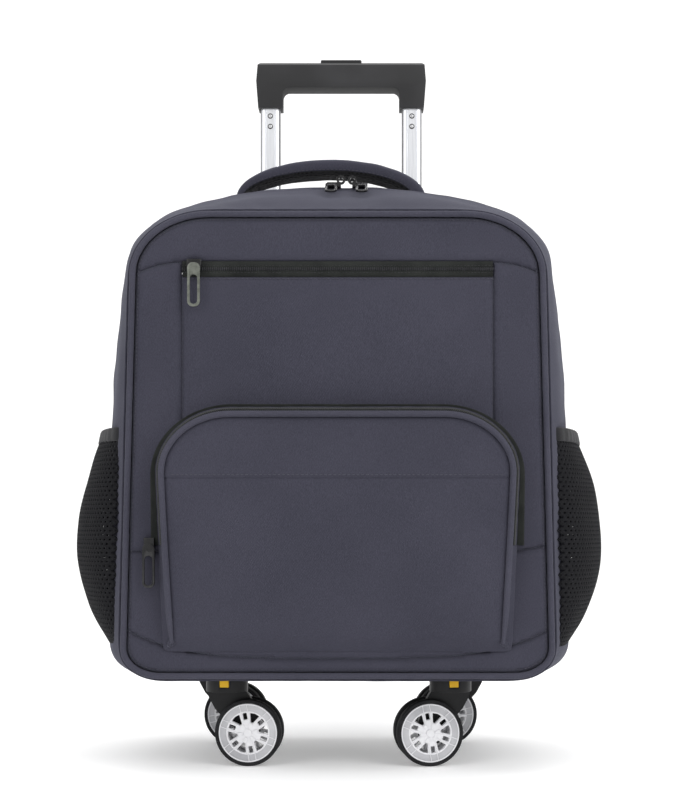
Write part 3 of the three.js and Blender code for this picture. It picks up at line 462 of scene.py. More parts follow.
along_ring = run_length(gusset_grid[20])
from_front = (depths * gusset_depth)[:, None]
from_back = ((1 - depths) * gusset_depth)[:, None]
height = gusset_grid[..., 2]
fade = np.clip((height - zip_low) / 14, 0, 1)
from_zip = np.abs(gusset_grid[..., 1] - zip_y)
groove = np.clip((zip_half + groove_edge - from_zip) / groove_edge, 0, 1)
ridge = np.exp(-(((from_zip - zip_half - 2.2) / 1.6) ** 2))
swell = rumple(gusset_grid, 75.0, 3)
crease = rumple(gusset_grid * (1, 0.45, 1), 26.0, 5)
pucker = np.sin(along_ring[None, :] / 5.2 + 1.6 * np.sin(along_ring[None, :] / 31.0))
lift = 1.1 * swell + 0.45 * crease
lift += 0.28 * pucker * (np.exp(-from_front / 9) + np.exp(-from_back / 9))
lift *= np.clip(from_front / 10, 0, 1) * np.clip(from_back / 10, 0, 1) + 0.15
lift += fade * (0.5 * ridge - zip_groove * groove)
lift += 0.22 * fade * pucker * np.exp(-(((from_zip - 9) / 5) ** 2))
tabs_middle, tabs_half, tabs_low, tabs_back, pressed = 6, 26, 425, -36, 1.6
by_tabs = np.exp(-(((gusset_grid[..., 0] - tabs_middle) / tabs_half) ** 4))
by_tabs *= np.clip((height - tabs_low) / 12, 0, 1) * np.clip((tabs_back - gusset_grid[..., 1]) / 3, 0, 1)
lift -= by_tabs * (lift + pressed)
lift -= pressed * np.clip((height - 438) / 14, 0, 1)
gusset_points = gusset_grid + gusset_out * lift[..., None]
gusset_faces = grid_faces(len(depths), gusset_grid.shape[1], wrap_columns=True)
centres = gusset_points.reshape(-1, 3)[gusset_faces].mean(1)
window_half, window_middle, window_depth_half, window_above = 75, 79, 9.5, 430
under_collar = (
    (np.abs(centres[:, 0]) < window_half)
    & (np.abs(centres[:, 1] - window_middle) < window_depth_half)
    & (centres[:, 2] > window_above)
)
gusset = new_piece("gusset_cloth", gusset_points, gusset_faces[~under_collar], bag_cloth)
thicken(gusset, cloth_wall)
face_outwards(gusset)
finish_piece(gusset, "bag", "cloth", "gusset")

# Main zip. A black coil zip on a woven tape is sewn into the groove of the gusset, down one
# side, over the top and down the other. Two sliders meet beside the middle of the top.


def woven_tape(name, dark, light, rib=0.8):
    """Ribbed polyester tape: fine ribs and a slight change of tone."""
    material, tree, shader = new_material(name, light, 0.8, sheen=0.1)
    place = in_piece(tree)
    two_tones(tree, shader, grain_noise(tree, place, 60.0, 4.0), dark, light)
    bump_on(tree, shader, cells(tree, place, rib), 0.0002, 0.6)
    return material


def worn_material(name, base, tones, scale, detail, depth, strength, low=0.3, high=0.7, **finish):
    """A material whose tone and surface both change with the same wear."""
    material, tree, shader = new_material(name, base, **finish)
    wear = grain_noise(tree, in_piece(tree), scale, detail)
    two_tones(tree, shader, wear, *tones, low, high)
    bump_on(tree, shader, wear, depth, strength)
    return material


def black_coil(name, colour=(0.012, 0.012, 0.014)):
    """Hard nylon of the zip teeth, slightly glossy."""
    tones = (colour, tuple(min(1.0, c * 1.9 + 0.004) for c in colour))
    return worn_material(name, colour, tones, 240.0, 3.0, 0.00008, 0.4, roughness=0.38, specular=0.25)


def new_form_tree(name, *measures):
    """An empty geometry node tree that takes measures and a material, and its start sockets."""
    tree = bpy.data.node_groups.new(name, "GeometryNodeTree")
    interface = tree.interface
    interface.new_socket("Geometry", in_out="INPUT", socket_type="NodeSocketGeometry")
    for label in measures:
        interface.new_socket(label, in_out="INPUT", socket_type="NodeSocketFloat")
    interface.new_socket("Material", in_out="INPUT", socket_type="NodeSocketMaterial")
    interface.new_socket("Geometry", in_out="OUTPUT", socket_type="NodeSocketGeometry")
    return tree, tree.nodes.new("NodeGroupInput").outputs


def end_form_tree(tree, geometry, material):
    """Makes the form real, smooth and painted at the end of its tree."""
    real = add_node(tree, "GeometryNodeRealizeInstances", {"Geometry": geometry})
    smooth = add_node(tree, "GeometryNodeSetShadeSmooth", {"Geometry": real.outputs["Geometry"]})
    values = {"Geometry": smooth.outputs["Geometry"], "Material": material}
    painted = add_node(tree, "GeometryNodeSetMaterial", values)
    add_node(tree, "NodeGroupOutput", {"Geometry": painted.outputs["Geometry"]})
    return tree


def bead_row_tree():
    """Node tree that sets rounded elements along lines, X along the line and Z outwards."""
    tree, start = new_form_tree("bead_row", "Spacing", "Length", "Width", "Height")
    curve = add_node(tree, "GeometryNodeMeshToCurve", {"Mesh": start["Geometry"]})
    evened = add_node(
        tree,
        "GeometryNodeResampleCurve",
        {"Curve": curve.outputs["Curve"], "Length": start["Spacing"]},
        mode="LENGTH",
    )
    tangent = add_node(tree, "GeometryNodeInputTangent")
    up = add_node(tree, "GeometryNodeInputNamedAttribute", {"Name": "up"}, data_type="FLOAT_VECTOR")
    along = add_node(
        tree, "FunctionNodeAlignRotationToVector", {"Vector": tangent.outputs["Tangent"]}, axis="X"
    )
    turned = add_node(
        tree,
        "FunctionNodeAlignRotationToVector",
        {"Rotation": along.outputs["Rotation"], "Vector": up.outputs["Attribute"]},
        axis="Z",
        pivot_axis="X",
    )
    bead = add_node(tree, "GeometryNodeMeshUVSphere", {"Segments": 8, "Rings": 5, "Radius": 0.5})
    size = add_node(
        tree,
        "ShaderNodeCombineXYZ",
        {"X": start["Length"], "Y": start["Width"], "Z": start["Height"]},
    )
    copies = add_node(
        tree,
        "GeometryNodeInstanceOnPoints",
        {
            "Points": evened.outputs["Curve"],
            "Instance": bead.outputs["Mesh"],
            "Rotation": turned.outputs["Rotation"],
            "Scale": size.outputs["Vector"],
        },
    )
    return end_form_tree(tree, copies.outputs["Instances"], start["Material"])


bead_rows = bead_row_tree()


def set_inputs(modifier, **values):
    for socket in modifier.node_group.interface.items_tree:
        label = socket.name.lower().replace(" ", "_")
        if socket.in_out == "INPUT" and label in values:
            modifier[socket.identifier] = values[label]


def bead_row(name, lines, ups, spacing, size, material):
    """Elements of one size, such as stitches or zip teeth, along one or more open lines."""
    points, vectors, edges = [], [], []
    for line, up in zip(lines, ups):
        first = len(points)
        points += [tuple(p) for p in line]
        vectors += [tuple(v) for v in np.broadcast_to(up, (len(line), 3))]
        edges += [(first + i, first + i + 1) for i in range(len(line) - 1)]
    mesh = bpy.data.meshes.new(name)
    placed = np.array(points) * MM + (0, back_shift * MM, 0)
    mesh.from_pydata(placed.tolist(), edges, [])
    mesh.attributes.new("up", "FLOAT_VECTOR", "POINT").data.foreach_set("vector", np.ravel(vectors))
    row = add_object(name, mesh)
    modifier = row.modifiers.new("row", "NODES")
    modifier.node_group = bead_rows
    length, width, height = (s * MM for s in size)
    set_inputs(
        modifier, spacing=spacing * MM, length=length, width=width, height=height, material=material
    )
    apply_modifiers(row)
    return row


def ribbon(name, centre, sideways, up, half_width, thickness, material, columns=5):
    """A flat band of cloth along a line: sideways and up are unit vectors at each point."""
    shares = np.linspace(-1, 1, columns)
    top = [centre + s * half_width * sideways for s in shares]
    bottom = [p - thickness * up for p in reversed(top)]
    ring = np.stack(top + bottom, 1)
    piece = new_piece(name, ring, tube_faces(len(centre), ring.shape[1]), material)
    face_outwards(piece)
    return piece


zip_tape = woven_tape("zip_tape_black", (0.018, 0.019, 0.018), (0.034, 0.036, 0.034))
zip_coil = black_coil("zip_coil")
tape_row = int(np.argmin(np.abs(depths - zip_depth)))
tape_line = gusset_points[tape_row]
tape_out = gusset_out[tape_row]
shown = np.flatnonzero(tape_line[:, 2] >= zip_low)
right_up = shown[shown <= len(panel_half) - 1]
left_down = shown[shown > len(panel_half) - 1]
run = np.concatenate([right_up, left_down])
tape_rise = 0.7
tape_centre = tape_line[run] + tape_out[run] * tape_rise
tape_side = np.broadcast_to(np.array([0.0, 1.0, 0.0]), tape_centre.shape)
tape_side = units(tape_side - tape_out[run] * np.sum(tape_side * tape_out[run], 1)[:, None])
main_tape = ribbon(
    "main_zip_tape", tape_centre, tape_side, tape_out[run], zip_half - 0.25, 0.7, zip_tape
)
finish_piece(main_tape, "bag", "zip_tape", "main_zip")
coil_pitch, coil_size = 1.5, (1.15, 3.6, 1.5)
main_teeth = bead_row(
    "main_zip_teeth", [tape_centre + 0.25 * tape_out[run]], [tape_out[run]], coil_pitch, coil_size, zip_coil
)
finish_piece(main_teeth, "bag", "zip_tape")

# Front panels. The front is sewn from a yoke, two side panels that are each cut in two with a seam
# across, a middle panel and a bottom band, all of the navy twill. Each panel has its edges turned
# in, so that the seams lie in a valley.

sheet_front = -106.0
panel_gap = 5.1
yoke_seam, yoke_drop, yoke_curve = 385.4, 11.0, 2
band_seam, band_rise, band_curve = 87.6, 24.0, 4
centre_half, front_zip_width = 117.0, 10.4
side_seam, side_seam_slope, pocket_side = 168.2, 0.155, 131.0


def yoke_line(x):
    out = np.maximum(0, np.abs(x) - centre_half) / (panel_form["half_top"] - centre_half)
    return yoke_seam - yoke_drop * out**yoke_curve


def side_seam_line(x):
    return side_seam + side_seam_slope * np.maximum(0, x - pocket_side)


def band_line(x):
    return band_seam + band_rise * (np.abs(x) / panel_form["half_bottom"]) ** band_curve


def inside(points, loop):
    """Which points lie inside a closed loop."""
    x, z = points[:, 0:1], points[:, 1:2]
    a, b = loop, np.roll(loop, -1, 0)
    crossing = (a[None, :, 1] > z) != (b[None, :, 1] > z)
    rise = np.where(b[:, 1] == a[:, 1], 1e-9, b[:, 1] - a[:, 1])
    at = a[None, :, 0] + (z - a[None, :, 1]) * ((b[:, 0] - a[:, 0]) / rise)[None, :]
    return (np.sum(crossing & (x < at), 1) % 2) == 1


def edge_distance(points, loop):
    """Distance of each point from a closed loop."""
    a, b = loop, np.roll(loop, -1, 0)
    span = b - a
    length = np.maximum(np.sum(span**2, 1), 1e-9)
    nearest = np.full(len(points), 1e9)
    for i in range(len(loop)):
        t = np.clip(((points - a[i]) @ span[i]) / length[i], 0, 1)
        gap = points - (a[i] + t[:, None] * span[i])
        nearest = np.minimum(nearest, np.sum(gap**2, 1))
    return np.sqrt(nearest)


def evened_loop(loop, spacing):
    """The loop with points an even distance apart, its sharp corners kept."""
    loop = np.asarray(loop, float)
    result = []
    for a, b in zip(loop, np.roll(loop, -1, 0)):
        count = max(1, int(round(np.linalg.norm(b - a) / spacing)))
        result += [a + (b - a) * i / count for i in range(count)]
    return np.array(result)


def cut_loop(loop, keep, line):
    """The part of a closed loop above (keep 1) or below (keep -1) a line z(x)."""
    over = keep * (loop[:, 1] - line(loop[:, 0]))
    entry = np.flatnonzero((over >= 0) & (np.roll(over, 1) < 0))
    if len(entry) == 0:
        return loop
    loop, over = np.roll(loop, -entry[0], 0), np.roll(over, -entry[0])
    kept = int(np.argmax(over < 0))
    start = loop[-1] + (loop[0] - loop[-1]) * over[-1] / (over[-1] - over[0])
    end = loop[kept - 1] + (loop[kept] - loop[kept - 1]) * over[kept - 1] / (over[kept - 1] - over[kept])
    across = np.linspace(end[0], start[0], max(3, int(abs(end[0] - start[0]) / 4)))[1:-1]
    seam = np.stack([across, np.broadcast_to(line(across), across.shape)], 1)
    return np.vstack([start, loop[:kept], end, seam])


def cut_side(loop, keep, at):
    """The part of a closed loop right (keep 1) or left (keep -1) of x = at."""
    turned = cut_loop(loop[:, ::-1], keep, lambda _: at)
    return turned[:, ::-1]


def filled(loop, spacing, fine_rows=None, margin=0.45):
    """Points and triangles that fill a closed loop evenly, with finer rows where they are given."""
    low, high = loop.min(0), loop.max(0)
    levels = np.arange(low[1] + spacing / 2, high[1], spacing * 0.87)
    points = []
    if fine_rows is not None:
        points.append(fine_rows)
        reach = np.ptp(fine_rows[:, 1]) / 2 + spacing / 2
        levels = levels[np.abs(levels - fine_rows[:, 1].mean()) > reach]
    for i, z in enumerate(levels):
        across = np.arange(low[0] + (i % 2) * spacing / 2, high[0], spacing)
        points.append(np.stack([across, np.full(len(across), z)], 1))
    points = np.vstack(points)
    points = points[inside(points, loop)]
    points = points[edge_distance(points, loop) > spacing * margin]
    count = len(loop)
    everything = [Vector(p) for p in np.vstack([loop, points])]
    edges = [(i, (i + 1) % count) for i in range(count)]
    result = delaunay_2d_cdt(everything, edges, [], 1, 1e-5)
    return np.array([tuple(p) for p in result[0]]), [tuple(f) for f in result[2]]


def panel(name, loop, face_at, material, spacing=3.0, wall=1.7, facing=-1):
    """A cloth panel facing the front (-1) or the back (1), cut to a loop, its edges turned in."""
    points, faces = filled(evened_loop(loop, spacing), spacing)
    near = edge_distance(points, loop)
    piece = new_piece(name, in_space(points, face_at(points, near)), faces, material)
    face_outwards(piece, facing=facing)
    thicken(piece, wall)
    return piece


def front_face_at(points, near):
    """Depth of the front panels: almost flat, turned in at the seams, with faint dents."""
    roll = 1.0 - np.exp(-near / 1.3)
    fullness = 0.9 * (1 - np.exp(-near / 22.0))
    place = in_space(points, 0.0)
    dents = 0.5 * rumple(place, 60.0, 11) + 0.16 * rumple(place, 15.0, 12)
    pucker = 0.12 * np.sin(points[:, 0] / 1.9 + points[:, 1] / 2.3) * np.exp(-near / 5.0)
    return sheet_front + 2.3 - 2.2 * roll - fullness * 0.6 - (dents * 0.5 + pucker) * roll


sheet_loop = soften(inset(whole_outline(panel_half), panel_gap), 2)
half_gap = -0.1
yoke_loop = cut_loop(sheet_loop, 1, lambda x: yoke_line(x) + half_gap)
band_loop = cut_loop(sheet_loop, -1, lambda x: band_line(x) - half_gap)
middle_loop = cut_loop(sheet_loop, -1, lambda x: yoke_line(x) - half_gap)
middle_loop = cut_loop(middle_loop, 1, lambda x: band_line(x) + half_gap)
zip_bottom = yoke_seam - front_zip_width
centre_loop = cut_side(cut_side(middle_loop, 1, -centre_half + half_gap), -1, centre_half - half_gap)
zip_pocket_loop = cut_loop(centre_loop, -1, lambda x: zip_bottom - half_gap)
front_panels = {
    "front_yoke": yoke_loop,
    "bottom_band": band_loop,
    "zip_pocket_panel": zip_pocket_loop,
}
for side, keep in (("left", -1), ("right", 1)):
    loop = cut_side(middle_loop, keep, keep * (centre_half + half_gap))
    upper, lower = f"front_side_panel_{side}", f"front_side_panel_{side}_lower"
    front_panels[upper] = cut_loop(loop, 1, lambda x: side_seam_line(x) + half_gap)
    front_panels[lower] = cut_loop(loop, -1, lambda x: side_seam_line(x) - half_gap)
for name, loop in front_panels.items():
    cloth = panel(name + "_cloth", loop, front_face_at, bag_cloth)
    nodes = () if name.endswith("_lower") else (name,)
    finish_piece(cloth, "bag", "cloth", *nodes)

# Front zip. The upper pocket closes with a coil zip set flush in the front. Greenish-grey tape
# shows above and below the teeth, and a row of topstitching holds the panel below it.

front_tape_cloth = woven_tape("zip_tape_grey", (0.009, 0.010, 0.0095), (0.019, 0.021, 0.019))
stitch_thread = new_material("sewing_thread", (0.05, 0.05, 0.066), 0.6, sheen=0.2)[0]
zip_centre = yoke_seam - front_zip_width / 2
zip_x = np.linspace(-centre_half + 0.5, centre_half - 0.5, 120)
zip_line = np.stack([zip_x, np.full(120, sheet_front + 0.75), np.full(120, zip_centre)], 1)
sideways = np.broadcast_to(np.array([0.0, 0.0, 1.0]), zip_line.shape)
forwards = np.broadcast_to(np.array([0.0, -1.0, 0.0]), zip_line.shape)
front_tape = ribbon(
    "front_zip_tape", zip_line, sideways, forwards, front_zip_width / 2 + 0.6, 0.9, front_tape_cloth
)
finish_piece(front_tape, "bag", "zip_tape", "front_zip")
front_teeth = bead_row(
    "front_zip_teeth",
    [zip_line + 0.2 * forwards],
    [forwards],
    coil_pitch,
    (1.15, 3.2, 1.3),
    zip_coil,
)
finish_piece(front_teeth, "bag", "zip_tape")
front_edges = bead_row(
    "front_zip_edge_stitches",
    [zip_line + sideways * s + forwards * 0.02 for s in (2.6, -2.6)],
    [forwards, forwards],
    2.6,
    (1.9, 0.5, 0.4),
    zip_coil,
)
finish_piece(front_edges, "bag", "zip_tape")


stitch_pitch, stitch_size = 3.4, (2.5, 0.55, 0.5)


def stitches_on_front(name, lines, spacing=stitch_pitch, size=stitch_size):
    """Topstitching along lines of the front plane, lying on the panels."""
    loops, ups = [], []
    for line in lines:
        line = np.asarray(line, float)
        near = np.full(len(line), 3.0)
        loops.append(in_space(line, front_face_at(line, near) - 0.05))
        ups.append(np.array([0.0, -1.0, 0.0]))
    return bead_row(name, loops, ups, spacing, size, stitch_thread)


def level_line(z, low=-centre_half + 1, high=centre_half - 1, count=90):
    return np.stack([np.linspace(low, high, count), np.full(count, z)], 1)


below_zip = stitches_on_front("zip_pocket_topstitch", [level_line(zip_bottom - 2.2)])
finish_piece(below_zip, "bag", "cloth")

# Front piping. A cord covered in navy cloth is sewn in all round the front edge of the bag, where
# the front panels meet the gusset. A row of stitches holds it on the side of the panels.


def tube_mesh(name, path, radius, material, closed=True, sides=14):
    """A round cord along a path; radius is one number or one for each point."""
    path = np.asarray(path, float)
    if closed:
        along = np.roll(path, -1, 0) - np.roll(path, 1, 0)
    else:
        along = np.gradient(path, axis=0)
    along = units(along)
    across = units(np.cross((0.0, 1.0, 0.0), along))
    over = np.cross(along, across)
    angles = np.linspace(0, 2 * math.pi, sides, endpoint=False)
    radius = np.broadcast_to(radius, len(path))[:, None, None]
    ring = (
        path[:, None]
        + radius * across[:, None] * np.cos(angles)[None, :, None]
        + radius * over[:, None] * np.sin(angles)[None, :, None]
    )
    if closed:
        faces = grid_faces(len(path), sides, wrap_rows=True, wrap_columns=True)
    else:
        faces = tube_faces(len(path), sides)
    piece = new_piece(name, ring, faces, material)
    face_outwards(piece)
    return piece


piping_cloth = twill_cloth("piping_twill", (0.036, 0.036, 0.051), (0.060, 0.059, 0.080), rib=0.7)
fine_steps = dict(bottom=60, bottom_corner=26, side=150, top_corner=44, top=60)
piping_loop = inset(soften(whole_outline(half_outline(panel_form, fine_steps)), 4), piping_radius)
piping_run = run_length(piping_loop)
gather = 1 + 0.02 * np.sin(piping_run / 1.1) + 0.02 * np.sin(piping_run / 2.9)
front_piping = tube_mesh(
    "front_piping_cord", in_space(piping_loop, bag_front), piping_radius * gather, piping_cloth
)
finish_piece(front_piping, "bag", "piping", "front_piping")
seam_loop = inset(sheet_loop, 2.0)
seam_loop = np.vstack([seam_loop, seam_loop[:1]])
piping_seam = stitches_on_front("front_piping_topstitch", [seam_loop], 3.0, (2.0, 0.45, 0.4))
finish_piece(piping_seam, "bag", "cloth")

# Lower pocket. A raised pocket with an arched top is sewn on the front, cut in two pieces with
# a topstitched seam across. Its side wall holds a coil zip, and piping runs round its front edge.

pocket_form = dict(
    half_bottom=131.0, half_top=137.0, bottom=93.0, top=277.0, drop=0.0, flare=1,
    bottom_reach=4.0, bottom_height=4.0, top_reach=58.0, top_height=50.0,
)
pocket_steps = dict(bottom=50, bottom_corner=5, side=60, top_corner=44, top=42)
pocket_depth, pocket_crown, pocket_inset = 18.0, 4.0, 8.5
pocket_depth_shares = {"height": (0, 0.25, 0.55, 0.8, 1), "depth": (0.28, 0.7, 0.95, 1, 0.96)}
pocket_seat = sheet_front - 0.3
pocket_seam = 222.6
pocket_zip_low, pocket_zip_centre, pocket_zip_half = 171.0, 7.2, 5.6
pocket_height = pocket_form["top"] - pocket_form["bottom"]


def pocket_depth_at(z):
    share = np.clip((np.asarray(z) - pocket_form["bottom"]) / pocket_height, 0, 1)
    return pocket_depth * eased(pocket_depth_shares["height"], pocket_depth_shares["depth"], share)


pocket_base = soften(whole_outline(half_outline(pocket_form, pocket_steps)), 3)
pocket_shoulder = soften(inset(pocket_base, pocket_inset), 3)


def pocket_face_at(points, near):
    """Depth of the pocket's face: crowned, soft at its edge, with the seam across it."""
    crown = pocket_crown * (1 - np.exp(-((near / 26.0) ** 1.2)))
    place = in_space(points, 0.0)
    dents = 0.9 * rumple(place, 80.0, 21) + 0.2 * rumple(place, 20.0, 22)
    dents *= 1 - np.exp(-near / 10.0)
    from_seam = points[:, 1] - pocket_seam
    valley = 0.9 * np.exp(-np.abs(from_seam) / 0.7) - 0.45 * np.exp(-(((from_seam - 2.5) / 2.0) ** 2))
    pucker = 0.12 * np.sin(points[:, 0] / 1.7) * np.exp(-np.abs(from_seam) / 4.0)
    pucker = pucker + 0.15 * np.sin((points[:, 0] + points[:, 1]) / 2.2) * np.exp(-near / 5.0)
    edge_roll = 1.1 * np.exp(-near / 1.6)
    return pocket_seat - pocket_depth_at(points[:, 1]) - crown - dents - pucker + valley + edge_roll


pocket_spacing = 3.0
seam_offsets = np.array([-6, -4, -2.8, -1.8, -1.1, -0.5, 0, 0.5, 1.1, 1.8, 2.8, 4, 6])
seam_across = np.arange(-pocket_form["half_top"], pocket_form["half_top"], pocket_spacing * 0.7)
seam_rows = np.stack(np.meshgrid(seam_across, pocket_seam + seam_offsets), -1).reshape(-1, 2)
face_points, face_triangles = filled(pocket_shoulder, pocket_spacing, seam_rows, 0.3)
rim_count = len(pocket_shoulder)
face_near = edge_distance(face_points, pocket_shoulder)
face_y = pocket_face_at(face_points, face_near)
face_xyz = in_space(face_points, face_y)
rim_y = face_y[:rim_count]

middle = pocket_zip_centre / pocket_depth
wall_rows = np.unique(np.concatenate([np.linspace(0, 1, 13), middle + np.linspace(-0.37, 0.37, 21)]))
wall_rows = np.clip(wall_rows, 0, 1)
wall_rows = np.unique(np.round(wall_rows, 4))
base_run = run_length(pocket_base)
wall_grid = []
for t in wall_rows:
    flat = pocket_base + (pocket_shoulder - pocket_base) * t
    wall_grid.append(in_space(flat, pocket_seat + (rim_y - pocket_seat) * t))
wall_grid = np.array(wall_grid)
wall_out = grid_normals(wall_grid, True)
if wall_out[5, len(pocket_base) // 4, 0] < 0:
    wall_out = -wall_out
wall_zip = np.abs(pocket_seat - wall_grid[..., 1] - pocket_zip_centre)
wall_fade = np.clip((wall_grid[..., 2] - pocket_zip_low) / 6, 0, 1)
wall_lift = 0.5 * rumple(wall_grid, 30.0, 24)
wall_lift += 0.25 * np.sin(base_run / 2.1 + np.sin(base_run / 17))[None, :] * 0.6
wall_lift *= (np.sin(np.pi * wall_rows) ** 0.5)[:, None]
wall_lift += wall_fade * (
    0.15 * np.exp(-(((wall_zip - pocket_zip_half - 0.9) / 0.6) ** 2))
    - 1.0 * np.clip((pocket_zip_half + 0.4 - wall_zip) / 0.5, 0, 1)
)
wall_points = wall_grid + wall_out * wall_lift[..., None]
wall_points[-1] = wall_grid[-1]
count = len(pocket_base)
wall_faces = grid_faces(len(wall_rows), count, wrap_columns=True)
face_start = len(wall_rows) * count
pocket_points = np.vstack([wall_points.reshape(-1, 3), face_xyz])
pocket_faces = [tuple(f) for f in wall_faces]
pocket_faces += [tuple(i + face_start for i in f) for f in face_triangles]
pocket_cloth = new_piece("lower_pocket_cloth", pocket_points, pocket_faces, bag_cloth)
face_outwards(pocket_cloth, merge=2e-5, facing=-1)
thicken(pocket_cloth, 1.7)
finish_piece(pocket_cloth, "bag", "cloth", "lower_pocket")

topstitch_half, topstitch_above = 121, 2.3
seam_x = np.linspace(-topstitch_half, topstitch_half, 160)
line = np.stack([seam_x, np.full(len(seam_x), pocket_seam + topstitch_above)], 1)
near = edge_distance(line, pocket_shoulder)
seam_stitch = in_space(line, pocket_face_at(line, near) - 0.05)
pocket_stitches = bead_row(
    "lower_pocket_topstitch", [seam_stitch], [(0.0, -1.0, 0.0)], stitch_pitch, stitch_size, stitch_thread
)
finish_piece(pocket_stitches, "bag", "cloth")

# Pocket zip. The lower pocket's coil zip starts at the left side seam, runs over the arch and
# ends at the right side seam. Its tape is the same greenish grey as that of the upper zip, and a
# flange of it lies on the front beside the pocket.

zip_share = pocket_zip_centre / np.maximum(pocket_seat - rim_y, 1)
flat = pocket_base + (pocket_shoulder - pocket_base) * zip_share[:, None]
pocket_zip_line = in_space(flat, pocket_seat - pocket_zip_centre)
slope = units(in_space(pocket_shoulder - pocket_base, rim_y - pocket_seat))
middle_row = int(np.argmin(np.abs(wall_rows - middle)))
pocket_out = wall_out[middle_row]
pocket_out = units(pocket_out - slope * np.sum(pocket_out * slope, 1)[:, None])
over_arch = np.flatnonzero(pocket_zip_line[:, 2] >= pocket_zip_low)
pocket_tape_line = (pocket_zip_line + 0.1 * pocket_out)[over_arch]
pocket_tape = ribbon(
    "pocket_zip_tape",
    pocket_tape_line,
    slope[over_arch],
    pocket_out[over_arch],
    pocket_zip_half - 0.15,
    0.7,
    front_tape_cloth,
)
finish_piece(pocket_tape, "bag", "zip_tape", "pocket_zip")
flange_line = pocket_base[over_arch]
flange_out = flange_line - inset(pocket_base, 1.0)[over_arch]
up_share = np.clip((flange_line[:, 1] - pocket_zip_low) / (pocket_form["top"] - pocket_zip_low), 0, 1)
flange_half = 3.1 - 1.9 * up_share
flange_line = flange_line + flange_out * (flange_half - 0.8)[:, None]
pocket_flange = ribbon(
    "pocket_zip_flange",
    in_space(flange_line, sheet_front - 1.1),
    in_space(flange_out, 0.0),
    np.broadcast_to(np.array([0.0, -1.0, 0.0]), (len(flange_out), 3)),
    flange_half[:, None],
    0.9,
    front_tape_cloth,
)
finish_piece(pocket_flange, "bag", "zip_tape")
pocket_teeth = bead_row(
    "pocket_zip_teeth",
    [pocket_tape_line + 0.2 * pocket_out[over_arch]],
    [pocket_out[over_arch]],
    coil_pitch,
    (1.15, 3.6, 1.6),
    zip_coil,
)
finish_piece(pocket_teeth, "bag", "zip_tape")

# Pocket piping. Thin covered cord round the front edge of the lower pocket. It sinks into the
# seam towards the bottom corners, where it ends.

pocket_piping_radius, piping_out, piping_forward = 2.3, 1.5, 1.6
start = pocket_steps["bottom"] + pocket_steps["bottom_corner"]
stop = count - start
height_share = np.clip((pocket_shoulder[:, 1] - 97) / 26, 0, 1)
thinner = 0.45 + 0.55 * height_share**0.7
outwards = (pocket_shoulder - inset(pocket_shoulder, 1.0)) * piping_out * thinner[:, None]
edge_path = in_space(pocket_shoulder + outwards, rim_y - piping_forward * thinner)[start : stop + 1]
thinner = thinner[start : stop + 1]
pocket_piping = tube_mesh(
    "pocket_piping_cord", edge_path, pocket_piping_radius * thinner, piping_cloth, closed=False
)
finish_piece(pocket_piping, "bag", "piping", "pocket_piping")

# Net side pockets. A knitted black net with staggered hexagonal holes is sewn to the gusset at
# its front, back and bottom, and bulges out. A ribbed elastic binding gathers its open top edge.

net_low, net_high, net_bulge, net_fullness = 96.0, 262.0, 28.0, 0.6
net_front, net_back, binding_height = 0.035, 0.9, 11.0
net_shares = {
    "height": (0.0, 0.1, 0.22, 0.38, 0.56, 0.72, 0.86, 1.0),
    "bulge": (0.04, 0.46, 0.78, 1.0, 0.97, 0.84, 0.6, 0.27),
}
net_pitch, strand_width, strand_thickness = 4.3, 2.75, 0.8
gusset_halves = np.array([gusset_loop(d)[: len(panel_half)] for d in np.linspace(0, 1, 81)])


def side_x(depth, z):
    """Half-width of the gusset at shares of its depth and heights."""
    depth, z = np.broadcast_arrays(np.asarray(depth, float), np.asarray(z, float))
    result = np.zeros(depth.shape)
    low, high = lower_count - 1, lower_count + outline_steps["side"]
    levels = np.arange(80, 420, 2.0)
    table = np.array([np.interp(levels, h[low:high, 1], h[low:high, 0]) for h in gusset_halves])
    row = np.clip(depth * 80, 0, 79.999)
    i, f = row.astype(int), row - row.astype(int)
    for index in np.ndindex(depth.shape):
        a = np.interp(z[index], levels, table[i[index]])
        b = np.interp(z[index], levels, table[i[index] + 1])
        result[index] = a + (b - a) * f[index]
    return result


def net_surface(depth, z):
    """Points of the net at shares of the gusset's depth and heights, on the right side."""
    across = np.clip((depth - net_front) / (net_back - net_front), 0, 1)
    share = np.clip((z - net_low) / (net_high - net_low), 0, 1)
    bulge = net_bulge * eased(net_shares["height"], net_shares["bulge"], share)
    x = side_x(depth, z) + 0.5 + bulge * np.sin(np.pi * across) ** net_fullness
    return np.stack([x, depth_to_y(depth), z], -1)


